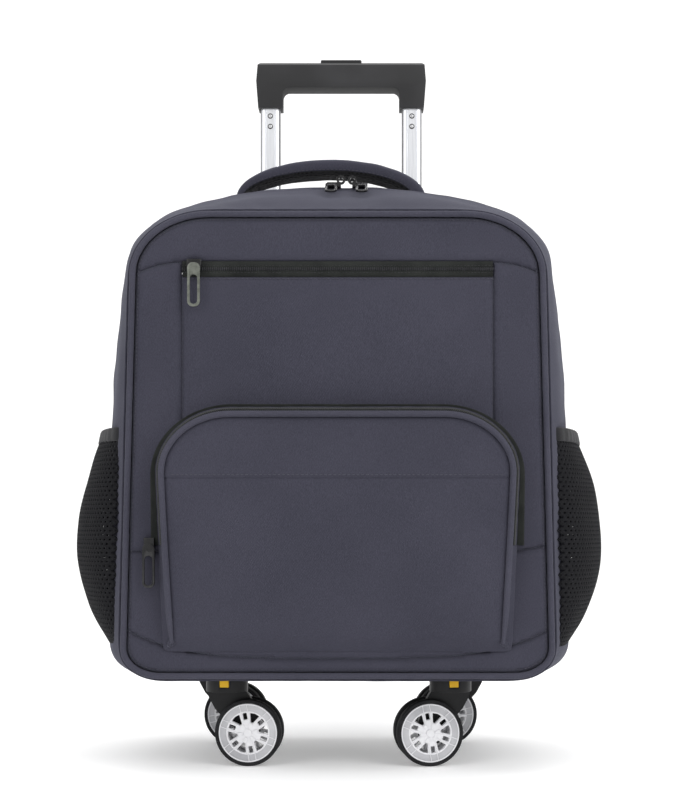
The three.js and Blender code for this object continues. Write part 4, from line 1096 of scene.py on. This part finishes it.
def net_tree():
    """Node tree that turns a triangle grid into a net: its dual hexagons with a hole in each."""
    tree, start = new_form_tree("hex_net", "Hole Share", "Thickness")
    dual = add_node(tree, "GeometryNodeDualMesh", {"Mesh": start["Geometry"], "Keep Boundaries": True})
    inset_faces = add_node(
        tree,
        "GeometryNodeExtrudeMesh",
        {"Mesh": dual.outputs["Dual Mesh"], "Offset Scale": 0.0, "Individual": True},
        mode="FACES",
    )
    shrunk = add_node(
        tree,
        "GeometryNodeScaleElements",
        {
            "Geometry": inset_faces.outputs["Mesh"],
            "Selection": inset_faces.outputs["Top"],
            "Scale": start["Hole Share"],
        },
    )
    holes = add_node(
        tree,
        "GeometryNodeDeleteGeometry",
        {"Geometry": shrunk.outputs["Geometry"], "Selection": inset_faces.outputs["Top"]},
        domain="FACE",
    )
    merged = add_node(
        tree, "GeometryNodeMergeByDistance", {"Geometry": holes.outputs["Geometry"], "Distance": 1e-5}
    )
    body = add_node(
        tree,
        "GeometryNodeExtrudeMesh",
        {"Mesh": merged.outputs["Geometry"], "Offset Scale": start["Thickness"], "Individual": False},
        mode="FACES",
    )
    back = add_node(tree, "GeometryNodeFlipFaces", {"Mesh": merged.outputs["Geometry"]})
    both = add_node(tree, "GeometryNodeJoinGeometry")
    tree.links.new(body.outputs["Mesh"], both.inputs["Geometry"])
    tree.links.new(back.outputs["Mesh"], both.inputs["Geometry"])
    closed = add_node(
        tree, "GeometryNodeMergeByDistance", {"Geometry": both.outputs["Geometry"], "Distance": 1e-5}
    )
    return end_form_tree(tree, closed.outputs["Geometry"], start["Material"])


hex_net = net_tree()
yarn_tones = ((0.004, 0.004, 0.005), (0.010, 0.010, 0.012))
net_yarn = worn_material(
    "net_yarn", (0.006, 0.006, 0.007), yarn_tones, 900.0, 2.0, 0.0003, 0.8, roughness=0.85
)
elastic = woven_tape("ribbed_elastic", (0.010, 0.010, 0.011), (0.020, 0.020, 0.023), rib=1.1)

net_columns = int(round((net_back - net_front) * gusset_depth * 1.12 / net_pitch))
net_rows = int(round((net_high - 4 - net_low) * 1.1 / (net_pitch * 0.87)))
for side, sign in (("left", -1), ("right", 1)):
    lattice, triangles = [], []
    for j in range(net_rows + 1):
        shift = 0.5 * (j % 2)
        us = (np.arange(net_columns + 1) + shift) / (net_columns + 0.5)
        depth_row = net_front + (net_back - net_front) * us
        z_row = np.full(len(us), net_low + (net_high - 4 - net_low) * j / net_rows)
        points = net_surface(depth_row, z_row)
        sag = rumple(points, 55.0, 31 + sign) * 1.6
        points[:, 0] += sag * np.sin(np.pi * us)
        lattice.append(points * (sign, 1, 1))
    width = net_columns + 1
    for j in range(net_rows):
        for i in range(net_columns):
            a, b = j * width + i, j * width + i + 1
            c, d = a + width, b + width
            quads = [(a, b, c), (b, d, c)] if j % 2 == 0 else [(a, b, d), (a, d, c)]
            triangles += [q if sign > 0 else q[::-1] for q in quads]
    net = new_piece(f"net_pocket_{side}_mesh", np.vstack(lattice), triangles, net_yarn)
    modifier = net.modifiers.new("net", "NODES")
    modifier.node_group = hex_net
    hole_share = 1 - strand_width / net_pitch
    set_inputs(modifier, hole_share=hole_share, thickness=strand_thickness * MM, material=net_yarn)
    apply_modifiers(net)
    face_outwards(net)
    finish_piece(net, "bag", "net", f"net_pocket_{side}")

    stations = np.linspace(net_front, net_back, 70)
    section = [(0.0, -1.0), (0.8, -0.97), (1.4, -0.75), (1.5, 0.0), (1.4, 0.8), (0.8, 1.0)]
    section += [(-x, z) for x, z in reversed(section[1:-1])]
    middle = net_high - binding_height / 2 + 0.3
    rings = []
    for out, up in section:
        z = np.full(len(stations), middle + up * binding_height * 0.47)
        points = net_surface(stations, z)
        level_x = net_surface(stations, np.full(len(stations), middle))[:, 0]
        points[:, 0] = level_x * 0.5 + points[:, 0] * 0.5
        ripple = 0.35 * np.sin(stations * gusset_depth / 1.5) * (1 if out > 0 else 0)
        points[:, 0] += out + 0.9 + ripple
        points[:, 2] += 0.8 * np.sin(stations * gusset_depth / 31.0)
        rings.append(points * (sign, 1, 1))
    binding_faces = tube_faces(len(stations), len(section))
    binding = new_piece(f"net_pocket_{side}_elastic", np.stack(rings, 1), binding_faces, elastic)
    face_outwards(binding)
    finish_piece(binding, "bag", "binding", f"net_pocket_binding_{side}")

# Carry handle. A padded arch of navy cloth, faced underneath with black spacer mesh, is sewn
# into the top of the bag at both ends. A row of stitches runs along each edge.

outer_half, inner_left, inner_right, under_height = 78.0, 70.5, 63.0, 18.4
handle_wide, arch_stations, arch_sides, bare_ends = 30.0, 73, 44, 2


def spacer_mesh(name, dark, light, hole=3.4):
    """Coarse knitted spacer mesh: dark round holes in a lighter knit."""
    material, tree, shader = new_material(name, light, 0.82, sheen=0.15)
    holes = cells(tree, in_piece(tree), hole, Randomness=0.35)
    two_tones(tree, shader, holes, dark, light, 0.18, 0.42)
    bump_on(tree, shader, holes, 0.0012, 0.9)
    return material


black_mesh = spacer_mesh("spacer_mesh_black", (0.002, 0.002, 0.0025), (0.020, 0.020, 0.022))
low_corner, high_corner = (np.array(v) / MM - (0, back_shift, 0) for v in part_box("carry_handle"))
middle_x, middle_y = ((low_corner + high_corner) / 2)[:2]
arch = np.linspace(0, math.pi, arch_stations)
outer_line = np.stack([
    middle_x - outer_half * np.cos(arch),
    np.full(arch_stations, middle_y),
    low_corner[2] + (high_corner[2] - low_corner[2]) * np.sin(arch),
], 1)
reach_in = np.where(arch < math.pi / 2, inner_left, inner_right)
inner_line = np.stack([
    middle_x - reach_in * np.cos(arch),
    np.full(arch_stations, middle_y),
    low_corner[2] + under_height * np.sin(arch) ** 1.1,
], 1)
arch_line = (outer_line + inner_line) / 2
half_thickness = np.linalg.norm(outer_line - inner_line, axis=1) / 2
arch_up = (outer_line - inner_line) / (2 * half_thickness[:, None])
section_angles = np.linspace(0, 2 * math.pi, arch_sides, endpoint=False)
section_across = np.sign(np.cos(section_angles)) * np.abs(np.cos(section_angles)) ** 0.5
section_up = np.sign(np.sin(section_angles)) * np.abs(np.sin(section_angles)) ** 0.62
seam_dip = 1 - 0.05 * np.exp(-(((section_up + 0.78) / 0.1) ** 2))
handle_rings = (
    arch_line[:, None]
    + (section_across * seam_dip * handle_wide * 0.49)[None, :, None] * np.array([0, 1.0, 0])
    + (section_up * seam_dip)[None, :, None] * (half_thickness[:, None, None] * arch_up[:, None])
)
handle_dents = 0.3 * rumple(handle_rings, 14.0, 41)
handle_rings = handle_rings + arch_up[:, None] * handle_dents[..., None]
handle_faces = tube_faces(arch_stations, arch_sides)
carry_handle = new_piece("carry_handle_pad", handle_rings, handle_faces, bag_cloth)
face_outwards(carry_handle)
carry_handle.data.materials.append(black_mesh)
for polygon in carry_handle.data.polygons:
    level = sum(section_up[i % arch_sides] for i in polygon.vertices) / len(polygon.vertices)
    polygon.material_index = 1 if level < -0.55 and len(polygon.vertices) == 4 else 0
finish_piece(carry_handle, "bag", "cloth", "carry_handle")
for edge, sign in (("front", -1), ("back", 1)):
    y_offset = np.array([0, sign * handle_wide * 0.492, 0])
    edge_line = arch_line + y_offset - arch_up * (half_thickness * 0.45)[:, None]
    stitches = bead_row(
        f"carry_handle_stitches_{edge}",
        [edge_line[bare_ends:-bare_ends]],
        [(0.0, sign * 1.0, 0.0)],
        stitch_pitch,
        stitch_size,
        stitch_thread,
    )
    finish_piece(stitches, "bag", "cloth")

# Zip hardware. Cast sliders in black run on the coils, and each has a pressed pull tab that
# swings on its eyelet. The tab of the upper pocket is gunmetal and the others are black.


def cast_metal(name, dark, light, roughness, metallic, coat=0.0):
    """Painted or plated casting with slight wear along its faces."""
    finish = {"roughness": roughness, "metallic": metallic, "coat": coat, "specular": 0.4}
    return worn_material(name, light, (dark, light), 320.0, 4.0, 0.00006, 0.5, 0.35, 0.65, **finish)


def packed_copy(name, node, material, change):
    """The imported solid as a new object, after a change to its merged mesh."""
    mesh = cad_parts[node].data.copy()
    solid = bmesh.new()
    solid.from_mesh(mesh)
    bmesh.ops.remove_doubles(solid, verts=solid.verts, dist=2e-5)
    change(solid)
    solid.to_mesh(mesh)
    solid.free()
    mesh.materials.clear()
    mesh.materials.append(material)
    return add_object(name, mesh)


def join_flat_faces(solid):
    bmesh.ops.dissolve_limit(
        solid, angle_limit=math.radians(1.5), verts=solid.verts, edges=solid.edges
    )


def rounded_copy(name, node, edge, material, segments=3, angle=28):
    """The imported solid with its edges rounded."""
    piece = packed_copy(name, node, material, join_flat_faces)
    if edge:
        bevel = piece.modifiers.new("edge", "BEVEL")
        bevel.width = edge * MM
        bevel.segments = segments
        bevel.limit_method = "ANGLE"
        bevel.angle_limit = math.radians(angle)
    apply_modifiers(piece)
    for polygon in piece.data.polygons:
        polygon.use_smooth = True
    piece.data.set_sharp_from_angle(angle=math.radians(42))
    return piece


black_metal = cast_metal("black_zip_metal", (0.005, 0.005, 0.006), (0.014, 0.014, 0.015), 0.26, 0.5, 0.4)
gunmetal = cast_metal("gunmetal", (0.115, 0.122, 0.105), (0.190, 0.200, 0.175), 0.34, 0.85)
hardware = {
    "main_zip_slider_left": "bag",
    "main_zip_slider_right": "bag",
    "front_zip_slider": "bag",
    "pocket_zip_slider": "bag",
    "main_zip_tab_left": "tab_main_left",
    "main_zip_tab_right": "tab_main_right",
    "front_zip_tab": "tab_front",
    "pocket_zip_tab": "tab_pocket",
}
for node, body in hardware.items():
    metal, slot = (gunmetal, "gunmetal") if node == "front_zip_tab" else (black_metal, "black_metal")
    piece = rounded_copy(node + "_cast", node, 0.42, metal)
    finish_piece(piece, body, slot, node)

# Pull handle. Two-stage aluminium tubes slide in the bag's back, in a black collar on top, and
# their narrow side faces carry painted shade as dark edge lines. The moulded grip has painted
# shade, a much darker plastic, on the recess of its underside, and a push button on top.


def moulded_plastic(name, dark, light, roughness, grain=900.0, depth=0.00006):
    """Moulded plastic with a fine spark-eroded grain and faint rubbing marks."""
    material, tree, shader = new_material(name, light, roughness, specular=0.22)
    place = in_piece(tree)
    two_tones(tree, shader, grain_noise(tree, place, 22.0, 4.0), dark, light, 0.35, 0.65)
    bump_on(tree, shader, grain_noise(tree, place, grain, 2.0), depth, 0.5)
    return material


grip_plastic = moulded_plastic("grip_plastic", (0.022, 0.022, 0.023), (0.031, 0.031, 0.033), 0.52)
button_plastic = moulded_plastic("grip_band_plastic", (0.012, 0.012, 0.013), (0.019, 0.019, 0.020), 0.55)
black_plastic = moulded_plastic("black_plastic", (0.006, 0.006, 0.007), (0.012, 0.012, 0.013), 0.46)
# Painted shade: a much darker plastic for the grip's recessed underside, where shade falls under it.
recess_shade_plastic = moulded_plastic("grip_recess_plastic", (0.004, 0.004, 0.005), (0.009, 0.009, 0.010), 0.6)
# Painted shade: a darker metal for the narrow side faces of the tubes, seen as dark edge lines.
edge_shade_metal = cast_metal("drawn_aluminium_edge", (0.20, 0.20, 0.21), (0.28, 0.28, 0.29), 0.4, 0.3)
tube_metal, tube_tree, tube_shader = new_material(
    "drawn_aluminium", (0.84, 0.85, 0.87), 0.3, 0.85, specular=0.5
)
tube_shader.inputs["Anisotropic"].default_value = 0.35
drawn = {"Vector": in_piece(tube_tree), "Scale": (1.0, 1.0, 0.03)}
tube_stretch = add_node(tube_tree, "ShaderNodeMapping", drawn).outputs["Vector"]
tube_lines = grain_noise(tube_tree, tube_stretch, 1100.0, 2.0)
two_tones(tube_tree, tube_shader, tube_lines, (0.74, 0.75, 0.78), (0.86, 0.87, 0.90))
bump_on(tube_tree, tube_shader, tube_lines, 0.00004, 0.5)
tube_flatness = 5.5


def tube_section(width, depth, corner, groove):
    """Outline of a drawn tube with two shallow guide grooves in its front and back."""
    half_w, half_d = width / 2, depth / 2
    points = []
    for sx, sy, start in ((1, -1, -90), (1, 1, 0), (-1, 1, 90), (-1, -1, 180)):
        for step in range(7):
            a = math.radians(start + 15 * step)
            x = sx * (half_w - corner) + corner * math.cos(a)
            points.append((x, sy * (half_d - corner) + corner * math.sin(a)))
    result = []
    for a, b in zip(points, points[1:] + points[:1]):
        result.append(a)
        if abs(a[1] - b[1]) < 1e-6 and abs(a[0] - b[0]) > 2:
            into = -math.copysign(groove, a[1])
            way = math.copysign(1.0, b[0] - a[0])
            at = abs(a[0]) - 0.3
            for x, dip in ((-at, 0), (-at + 0.25, into), (-at + 0.5, into), (-at + 0.75, 0)):
                result.append((way * x, a[1] + dip))
            for x, dip in ((at - 0.75, 0), (at - 0.5, into), (at - 0.25, into), (at, 0)):
                result.append((way * x, a[1] + dip))
    return result


def drawn_tube(name, node, body, groove=0.35, wall=1.0):
    low, high = (Vector(v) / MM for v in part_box(node))
    width = high.x - low.x
    depth = width - tube_flatness
    centre = ((low.x + high.x) / 2, high.y - back_shift - depth / 2)
    section = np.array(tube_section(width, depth, 4.0, groove))
    inner = section * ((width - 2 * wall) / width, (depth - 2 * wall) / depth)
    rings = [(section, low.z), (section, high.z), (inner, high.z), (inner, low.z)]
    points = [(centre[0] + x, centre[1] + y, z) for ring, z in rings for x, y in ring]
    faces = grid_faces(4, len(section), wrap_rows=True, wrap_columns=True)
    piece = new_piece(name, points, faces, tube_metal)
    face_outwards(piece)
    # The narrow side faces take the darker metal: painted shade along the tube's edges.
    piece.data.materials.append(edge_shade_metal)
    for polygon in piece.data.polygons:
        off = abs(polygon.center.x / MM - centre[0])
        polygon.material_index = 1 if abs(polygon.normal.x) > 0.78 and off > width / 2 - 1.5 else 0
    piece.data.set_sharp_from_angle(angle=math.radians(30))
    return finish_piece(piece, body, "handle_tube", node)


for side in ("left", "right"):
    drawn_tube(f"handle_inner_tube_{side}_drawn", f"handle_inner_tube_{side}", "handle_upper")
    drawn_tube(f"handle_middle_tube_{side}_drawn", f"handle_middle_tube_{side}", "handle_lower")
    drawn_tube(f"handle_outer_tube_{side}_drawn", f"handle_outer_tube_{side}", "bag", 0.0)

rivet_metal = cast_metal("rivet_steel", (0.45, 0.45, 0.46), (0.72, 0.72, 0.73), 0.3, 0.9)
rivet_dark = cast_metal("rivet_rim", (0.03, 0.03, 0.03), (0.07, 0.07, 0.07), 0.5, 0.4)
rivet_heights, rivet_from_middle, rivet_dish, tube_front = (547.4, 538.3), 62.1, 1.45, 73.0
rivet_profile = [
    (0.0, 0.62), (0.9, 0.6), (1.35, 0.42), (1.5, 0.3), (1.6, 0.55), (2.0, 0.62), (2.3, 0.3), (2.3, -0.3),
]


def turned(name, profile, centre, axis, material, sides=32):
    """A shape of revolution: rows of radius and place along the axis, from centre."""
    profile = np.array(profile, float)
    axis = Vector(axis).normalized()
    side = axis.orthogonal().normalized()
    third = axis.cross(side)
    angles = np.linspace(0, 2 * math.pi, sides, endpoint=False)
    ring = np.cos(angles)[:, None] * np.array(side) + np.sin(angles)[:, None] * np.array(third)
    points = [np.array(centre) + r * ring + h * np.array(axis) for r, h in profile]
    faces = grid_faces(len(profile), sides, wrap_columns=True)
    piece = new_piece(name, np.array(points), faces, material)
    face_outwards(piece, close=True)
    return piece


for side, sign in (("left", -1), ("right", 1)):
    for place, z in zip(("upper", "lower"), rivet_heights):
        centre = (sign * rivet_from_middle, tube_front, z)
        head = turned(f"grip_rivet_{side}_{place}", rivet_profile, centre, (0, -1, 0), rivet_dark)
        head.data.materials.append(rivet_metal)
        for polygon in head.data.polygons:
            off = Vector((polygon.center.x / MM - centre[0], polygon.center.z / MM - centre[2]))
            polygon.material_index = 1 if off.length < rivet_dish else 0
        finish_piece(head, "handle_upper", "handle_tube")

grip_body = rounded_copy("handle_grip_moulding", "handle_grip", 1.1, grip_plastic, segments=4, angle=20)
grip_body.data.materials.append(recess_shade_plastic)
recess_top, recess_half = 580, 54
# Faces of the underside recess that face down or sideways get the painted shade material.
for polygon in grip_body.data.polygons:
    reach = max(abs(grip_body.data.vertices[i].co.x) for i in polygon.vertices) / MM
    painted_shade_face = polygon.center.z / MM < recess_top and reach < recess_half and polygon.normal.z < 0.3
    polygon.material_index = 1 if painted_shade_face else 0
finish_piece(grip_body, "handle_upper", "grip_plastic", "handle_grip")
button_body = rounded_copy("handle_button_moulding", "handle_button", 1.2, button_plastic, segments=4)
finish_piece(button_body, "button", "grip_plastic", "handle_button")
collar_body = rounded_copy("handle_collar_moulding", "handle_collar", 1.2, black_plastic)
finish_piece(collar_body, "bag", "black_plastic", "handle_collar")

# Base plate and casters. Each caster has a black fork that swivels under the plate on a yellow
# insert, and carries two wheels: a white moulded rim with spokes, and a thin rubber tyre.

wheel_radius, rim_radius, rim_width, rim_near, trail = 26.0, 23.0, 8.0, 4.5, 18.0
caster_places = {
    "front_left": (-88.0, -52.0, -3.0, 40.0),
    "front_right": (88.0, -52.0, 187.0, 20.6),
    "rear_left": (-108.0, 58.0, -6.0, 12.0),
    "rear_right": (108.0, 58.0, 186.0, 52.0),
}
rubber_tones = ((0.010, 0.010, 0.011), (0.022, 0.022, 0.024))
rubber = worn_material(
    "tyre_rubber", (0.012, 0.012, 0.013), rubber_tones, 90.0, 5.0, 0.0002, 0.6, roughness=0.66
)
rim_plastic = moulded_plastic("rim_white", (0.66, 0.66, 0.68), (0.78, 0.78, 0.80), 0.36)
ring_plastic = moulded_plastic(
    "rim_ring_textured", (0.34, 0.34, 0.36), (0.56, 0.56, 0.58), 0.45, grain=700.0, depth=0.0004
)
yellow = moulded_plastic("yellow_insert", (0.62, 0.34, 0.012), (0.78, 0.46, 0.022), 0.42)


def flat_plate(loops, half_thickness, bevel, resolution=2):
    """A plate cut to closed loops, holes among them, with rounded edges, as a mesh in the XY plane."""
    curve = bpy.data.curves.new("plate", "CURVE")
    curve.dimensions = "2D"
    curve.fill_mode = "BOTH"
    curve.extrude = half_thickness - bevel
    curve.bevel_depth = bevel
    curve.bevel_resolution = resolution
    curve.offset = -bevel
    for loop in loops:
        spline = curve.splines.new("POLY")
        spline.points.add(len(loop) - 1)
        for point, (x, y) in zip(spline.points, loop):
            point.co = (x, y, 0, 1)
        spline.use_cyclic_u = True
    holder = add_object("plate", curve)
    graph = bpy.context.evaluated_depsgraph_get()
    mesh = bpy.data.meshes.new_from_object(holder.evaluated_get(graph))
    bpy.data.objects.remove(holder)
    bpy.data.curves.remove(curve)
    return mesh


def round_loop(corners, radius, steps=4):
    """A closed loop of corners with each one rounded."""
    corners = np.array(corners, float)
    result = []
    for before, at, after in zip(np.roll(corners, 1, 0), corners, np.roll(corners, -1, 0)):
        a = at + (before - at) / np.linalg.norm(before - at) * radius
        b = at + (after - at) / np.linalg.norm(after - at) * radius
        for t in np.linspace(0, 1, steps + 1):
            result.append((1 - t) ** 2 * a + 2 * t * (1 - t) * at + t**2 * b)
    return np.array(result)


def ring_loop(radius, count=72):
    angles = np.linspace(0, 2 * math.pi, count, endpoint=False)
    return np.stack([radius * np.cos(angles), radius * np.sin(angles)], 1)


def turn_loop(loop, degrees):
    a = math.radians(degrees)
    return loop @ np.array([[math.cos(a), math.sin(a)], [-math.sin(a), math.cos(a)]])


def rim_meshes(spin):
    """The parts of one rim, flat in XY with the outer face up: mesh, height of its middle, material."""
    face = rim_width / 2
    slot = round_loop([(10.4, -1.65), (15.7, -1.65), (15.7, 1.65), (10.4, 1.65)], 0.7)
    fan = round_loop([(8.3, -0.9), (15.2, -3.9), (16.0, 0.0), (15.2, 3.9), (8.3, 0.9)], 0.6)
    loops = [ring_loop(17.0)]
    ribs, petals = [], []
    for i in range(6):
        loops.append(turn_loop(slot, spin + 60 * i))
        loops.append(turn_loop(fan, spin + 60 * i + 30))
        for offset in (-2.75, 2.75):
            low, high = offset - 0.3, offset + 0.3
            rib = np.array([(7.6, low), (22.2, low), (22.2, high), (7.6, high)])
            ribs.append(turn_loop(rib, spin + 60 * i))
        petal = round_loop([(3.6, -0.9), (7.4, -1.9), (7.9, 0.0), (7.4, 1.9), (3.6, 0.9)], 0.7)
        petals.append(turn_loop(petal, spin + 60 * i + 30))
    web = flat_plate(loops, 2.2, 0.25)
    ring = flat_plate([ring_loop(21.9), ring_loop(16.7)], face - 0.6, 0.2)
    lip = flat_plate([ring_loop(22.85), ring_loop(21.8)], face, 0.3)
    hub = flat_plate([ring_loop(3.1, 36)], 0.8, 0.3)
    result = [
        (web, face - 2.6, rim_plastic),
        (ring, 0.0, ring_plastic),
        (lip, 0.0, rim_plastic),
        (hub, face - 0.5, rim_plastic),
    ]
    result += [(flat_plate([rib], 0.55, 0.18, 1), face - 0.5, rim_plastic) for rib in ribs]
    result += [(flat_plate([petal], 0.6, 0.25), face - 0.35, rim_plastic) for petal in petals]
    return result


def joined(name, parts):
    """One mesh object from meshes with their places and materials."""
    whole = bmesh.new()
    materials = []
    for mesh, matrix, material in parts:
        if material not in materials:
            materials.append(material)
        first = len(whole.faces)
        mesh.transform(matrix)
        if matrix.determinant() < 0:
            mesh.flip_normals()
        whole.from_mesh(mesh)
        whole.faces.ensure_lookup_table()
        for face in whole.faces[first:]:
            face.material_index = materials.index(material)
            face.smooth = True
        bpy.data.meshes.remove(mesh)
    bmesh.ops.remove_doubles(whole, verts=whole.verts, dist=1e-6)
    mesh = bpy.data.meshes.new(name)
    whole.to_mesh(mesh)
    whole.free()
    for material in materials:
        mesh.materials.append(material)
    mesh.set_sharp_from_angle(angle=math.radians(35))
    return add_object(name, mesh)


scale_down = Matrix.Scale(MM, 4)
bag_shift = Matrix.Translation((0, back_shift * MM, 0))
for name, (x, y, turn, spin) in caster_places.items():
    turned_by = Matrix.Rotation(math.radians(turn), 4, "Z")
    swivel = bag_shift @ scale_down @ Matrix.Translation((x, y, 0)) @ turned_by
    axle = swivel @ Matrix.Translation((trail, 0, wheel_radius))
    parts = []
    for sign in (-1, 1):
        stand = Matrix.Rotation(math.radians(-90 * sign), 4, "X")
        place = axle @ Matrix.Translation((0, sign * (rim_near + rim_width / 2), 0)) @ stand
        towards = 1 if sign < 0 else -1
        for mesh, height, material in rim_meshes(spin * towards):
            parts.append((mesh, place @ Matrix.Translation((0, 0, height)), material))
        tyre = turned(
            "tyre",
            [
                (rim_radius + 0.05, -3.9), (25.2, -3.95), (25.75, -3.6), (26.0, -2.8), (26.0, -0.5),
                (25.75, -0.3), (25.75, 0.3), (26.0, 0.5), (26.0, 2.8), (25.75, 3.6), (25.2, 3.95),
                (rim_radius + 0.05, 3.9), (rim_radius + 0.05, -3.9),
            ],
            (0, 0, 0),
            (0, 0, 1),
            rubber,
            sides=96,
        )
        mesh = tyre.data
        bpy.data.objects.remove(tyre)
        mesh.transform(Matrix.Scale(1 / MM, 4) @ Matrix.Translation((0, -back_shift * MM, 0)))
        side = "front" if sign < 0 else "back"
        tyre = joined(f"caster_tyre_{name}_{side}_rubber", [(mesh, place, rubber)])
        finish_piece(tyre, f"wheels_{name}", "tyre_rubber", f"caster_tyre_{name}_{side}")
    rims = joined(f"caster_wheel_{name}_rims", parts)
    finish_piece(rims, f"wheels_{name}", "rim_plastic", f"caster_wheel_{name}")
    fork = rounded_copy(f"caster_fork_{name}_moulding", f"caster_fork_{name}", 0.5, black_plastic)
    finish_piece(fork, f"swivel_{name}", "black_plastic", f"caster_fork_{name}")
    plug = rounded_copy(f"caster_insert_{name}_moulding", f"caster_insert_{name}", 0.35, yellow)
    finish_piece(plug, f"swivel_{name}", "yellow_plastic", f"caster_insert_{name}")
plate = rounded_copy("base_plate_moulding", "base_plate", 0.9, black_plastic)
finish_piece(plate, "bag", "black_plastic", "base_plate")

# Back. The hidden back is finished plainly: a panel of the navy twill with two sewn channels, two
# foam shoulder straps covered in the same cloth and blown up by simulation, and woven webbing.

back_seat, channel_at = 108.0, 58.0
row_pitch, row_half, row_depth = 34, 2.2, 0.9
cloth_pressure, cloth_frames = 4, 20
webbing_weave = woven_tape("strap_webbing", (0.012, 0.012, 0.014), (0.026, 0.026, 0.030), rib=1.2)


def back_face_at(points, near):
    channel = np.exp(-(((np.abs(points[:, 0]) - channel_at) / 2.6) ** 2))
    place = in_space(points, 0.0)
    return back_seat - 0.6 - 2.2 * np.exp(-near / 3.0) - 1.6 * channel + 0.4 * rumple(place, 50.0, 61)


back_cloth = panel(
    "back_panel_cloth", inset(gusset_loop(1.0), 0.3), back_face_at, bag_cloth, 4.0, 4.0, facing=1
)
finish_piece(back_cloth, "bag", "cloth", "back_panel")


def slimmer(solid, amount=0.9):
    solid.normal_update()
    for vert in solid.verts:
        vert.co -= vert.normal * amount * MM


def swollen_pad(name, node, material, voxel=3.6, cap=5.0):
    """Foam sewn in cloth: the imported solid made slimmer, then blown up by a cloth simulation."""
    pad = packed_copy(name, node, material, slimmer)
    remesh = pad.modifiers.new("even", "REMESH")
    remesh.mode = "VOXEL"
    remesh.voxel_size = voxel * MM
    apply_modifiers(pad)
    rest = np.array([v.co for v in pad.data.vertices])
    cloth = pad.modifiers.new("pressure", "CLOTH")
    cloth.settings.use_pressure = True
    cloth.settings.uniform_pressure_force = cloth_pressure
    cloth.settings.effector_weights.gravity = 0
    cloth.point_cache.frame_start = 1
    cloth.point_cache.frame_end = cloth_frames
    for number in range(1, cloth_frames + 1):
        bpy.context.scene.frame_set(number)
    apply_modifiers(pad)
    swollen = np.array([v.co for v in pad.data.vertices])
    moved = swollen - rest
    far = np.linalg.norm(moved, axis=1)[:, None]
    capped = rest + moved * np.minimum(1, cap * MM / np.maximum(far, 1e-9))
    pad.data.vertices.foreach_set("co", capped.ravel())
    bpy.context.scene.frame_set(1)
    smooth = pad.modifiers.new("smooth", "SUBSURF")
    smooth.levels = smooth.render_levels = 1
    apply_modifiers(pad)
    normals = np.array([v.normal for v in pad.data.vertices])
    points = np.array([v.co for v in pad.data.vertices])
    from_row = (points[:, 2] / MM + row_pitch / 2) % row_pitch - row_pitch / 2
    points -= normals * (row_depth * MM * np.exp(-((from_row / row_half) ** 2)))[:, None]
    pad.data.vertices.foreach_set("co", points.ravel())
    pad.data.polygons.foreach_set("use_smooth", np.ones(len(pad.data.polygons), bool))
    pad.data.update()
    return pad


for side in ("left", "right"):
    pad = swollen_pad(f"shoulder_strap_{side}_pad", f"shoulder_strap_{side}", bag_cloth)
    finish_piece(pad, "bag", "cloth", f"shoulder_strap_{side}")
    tail = rounded_copy(f"strap_webbing_{side}_weave", f"strap_webbing_{side}", 0.4, webbing_weave)
    finish_piece(tail, "bag", "webbing", f"strap_webbing_{side}")
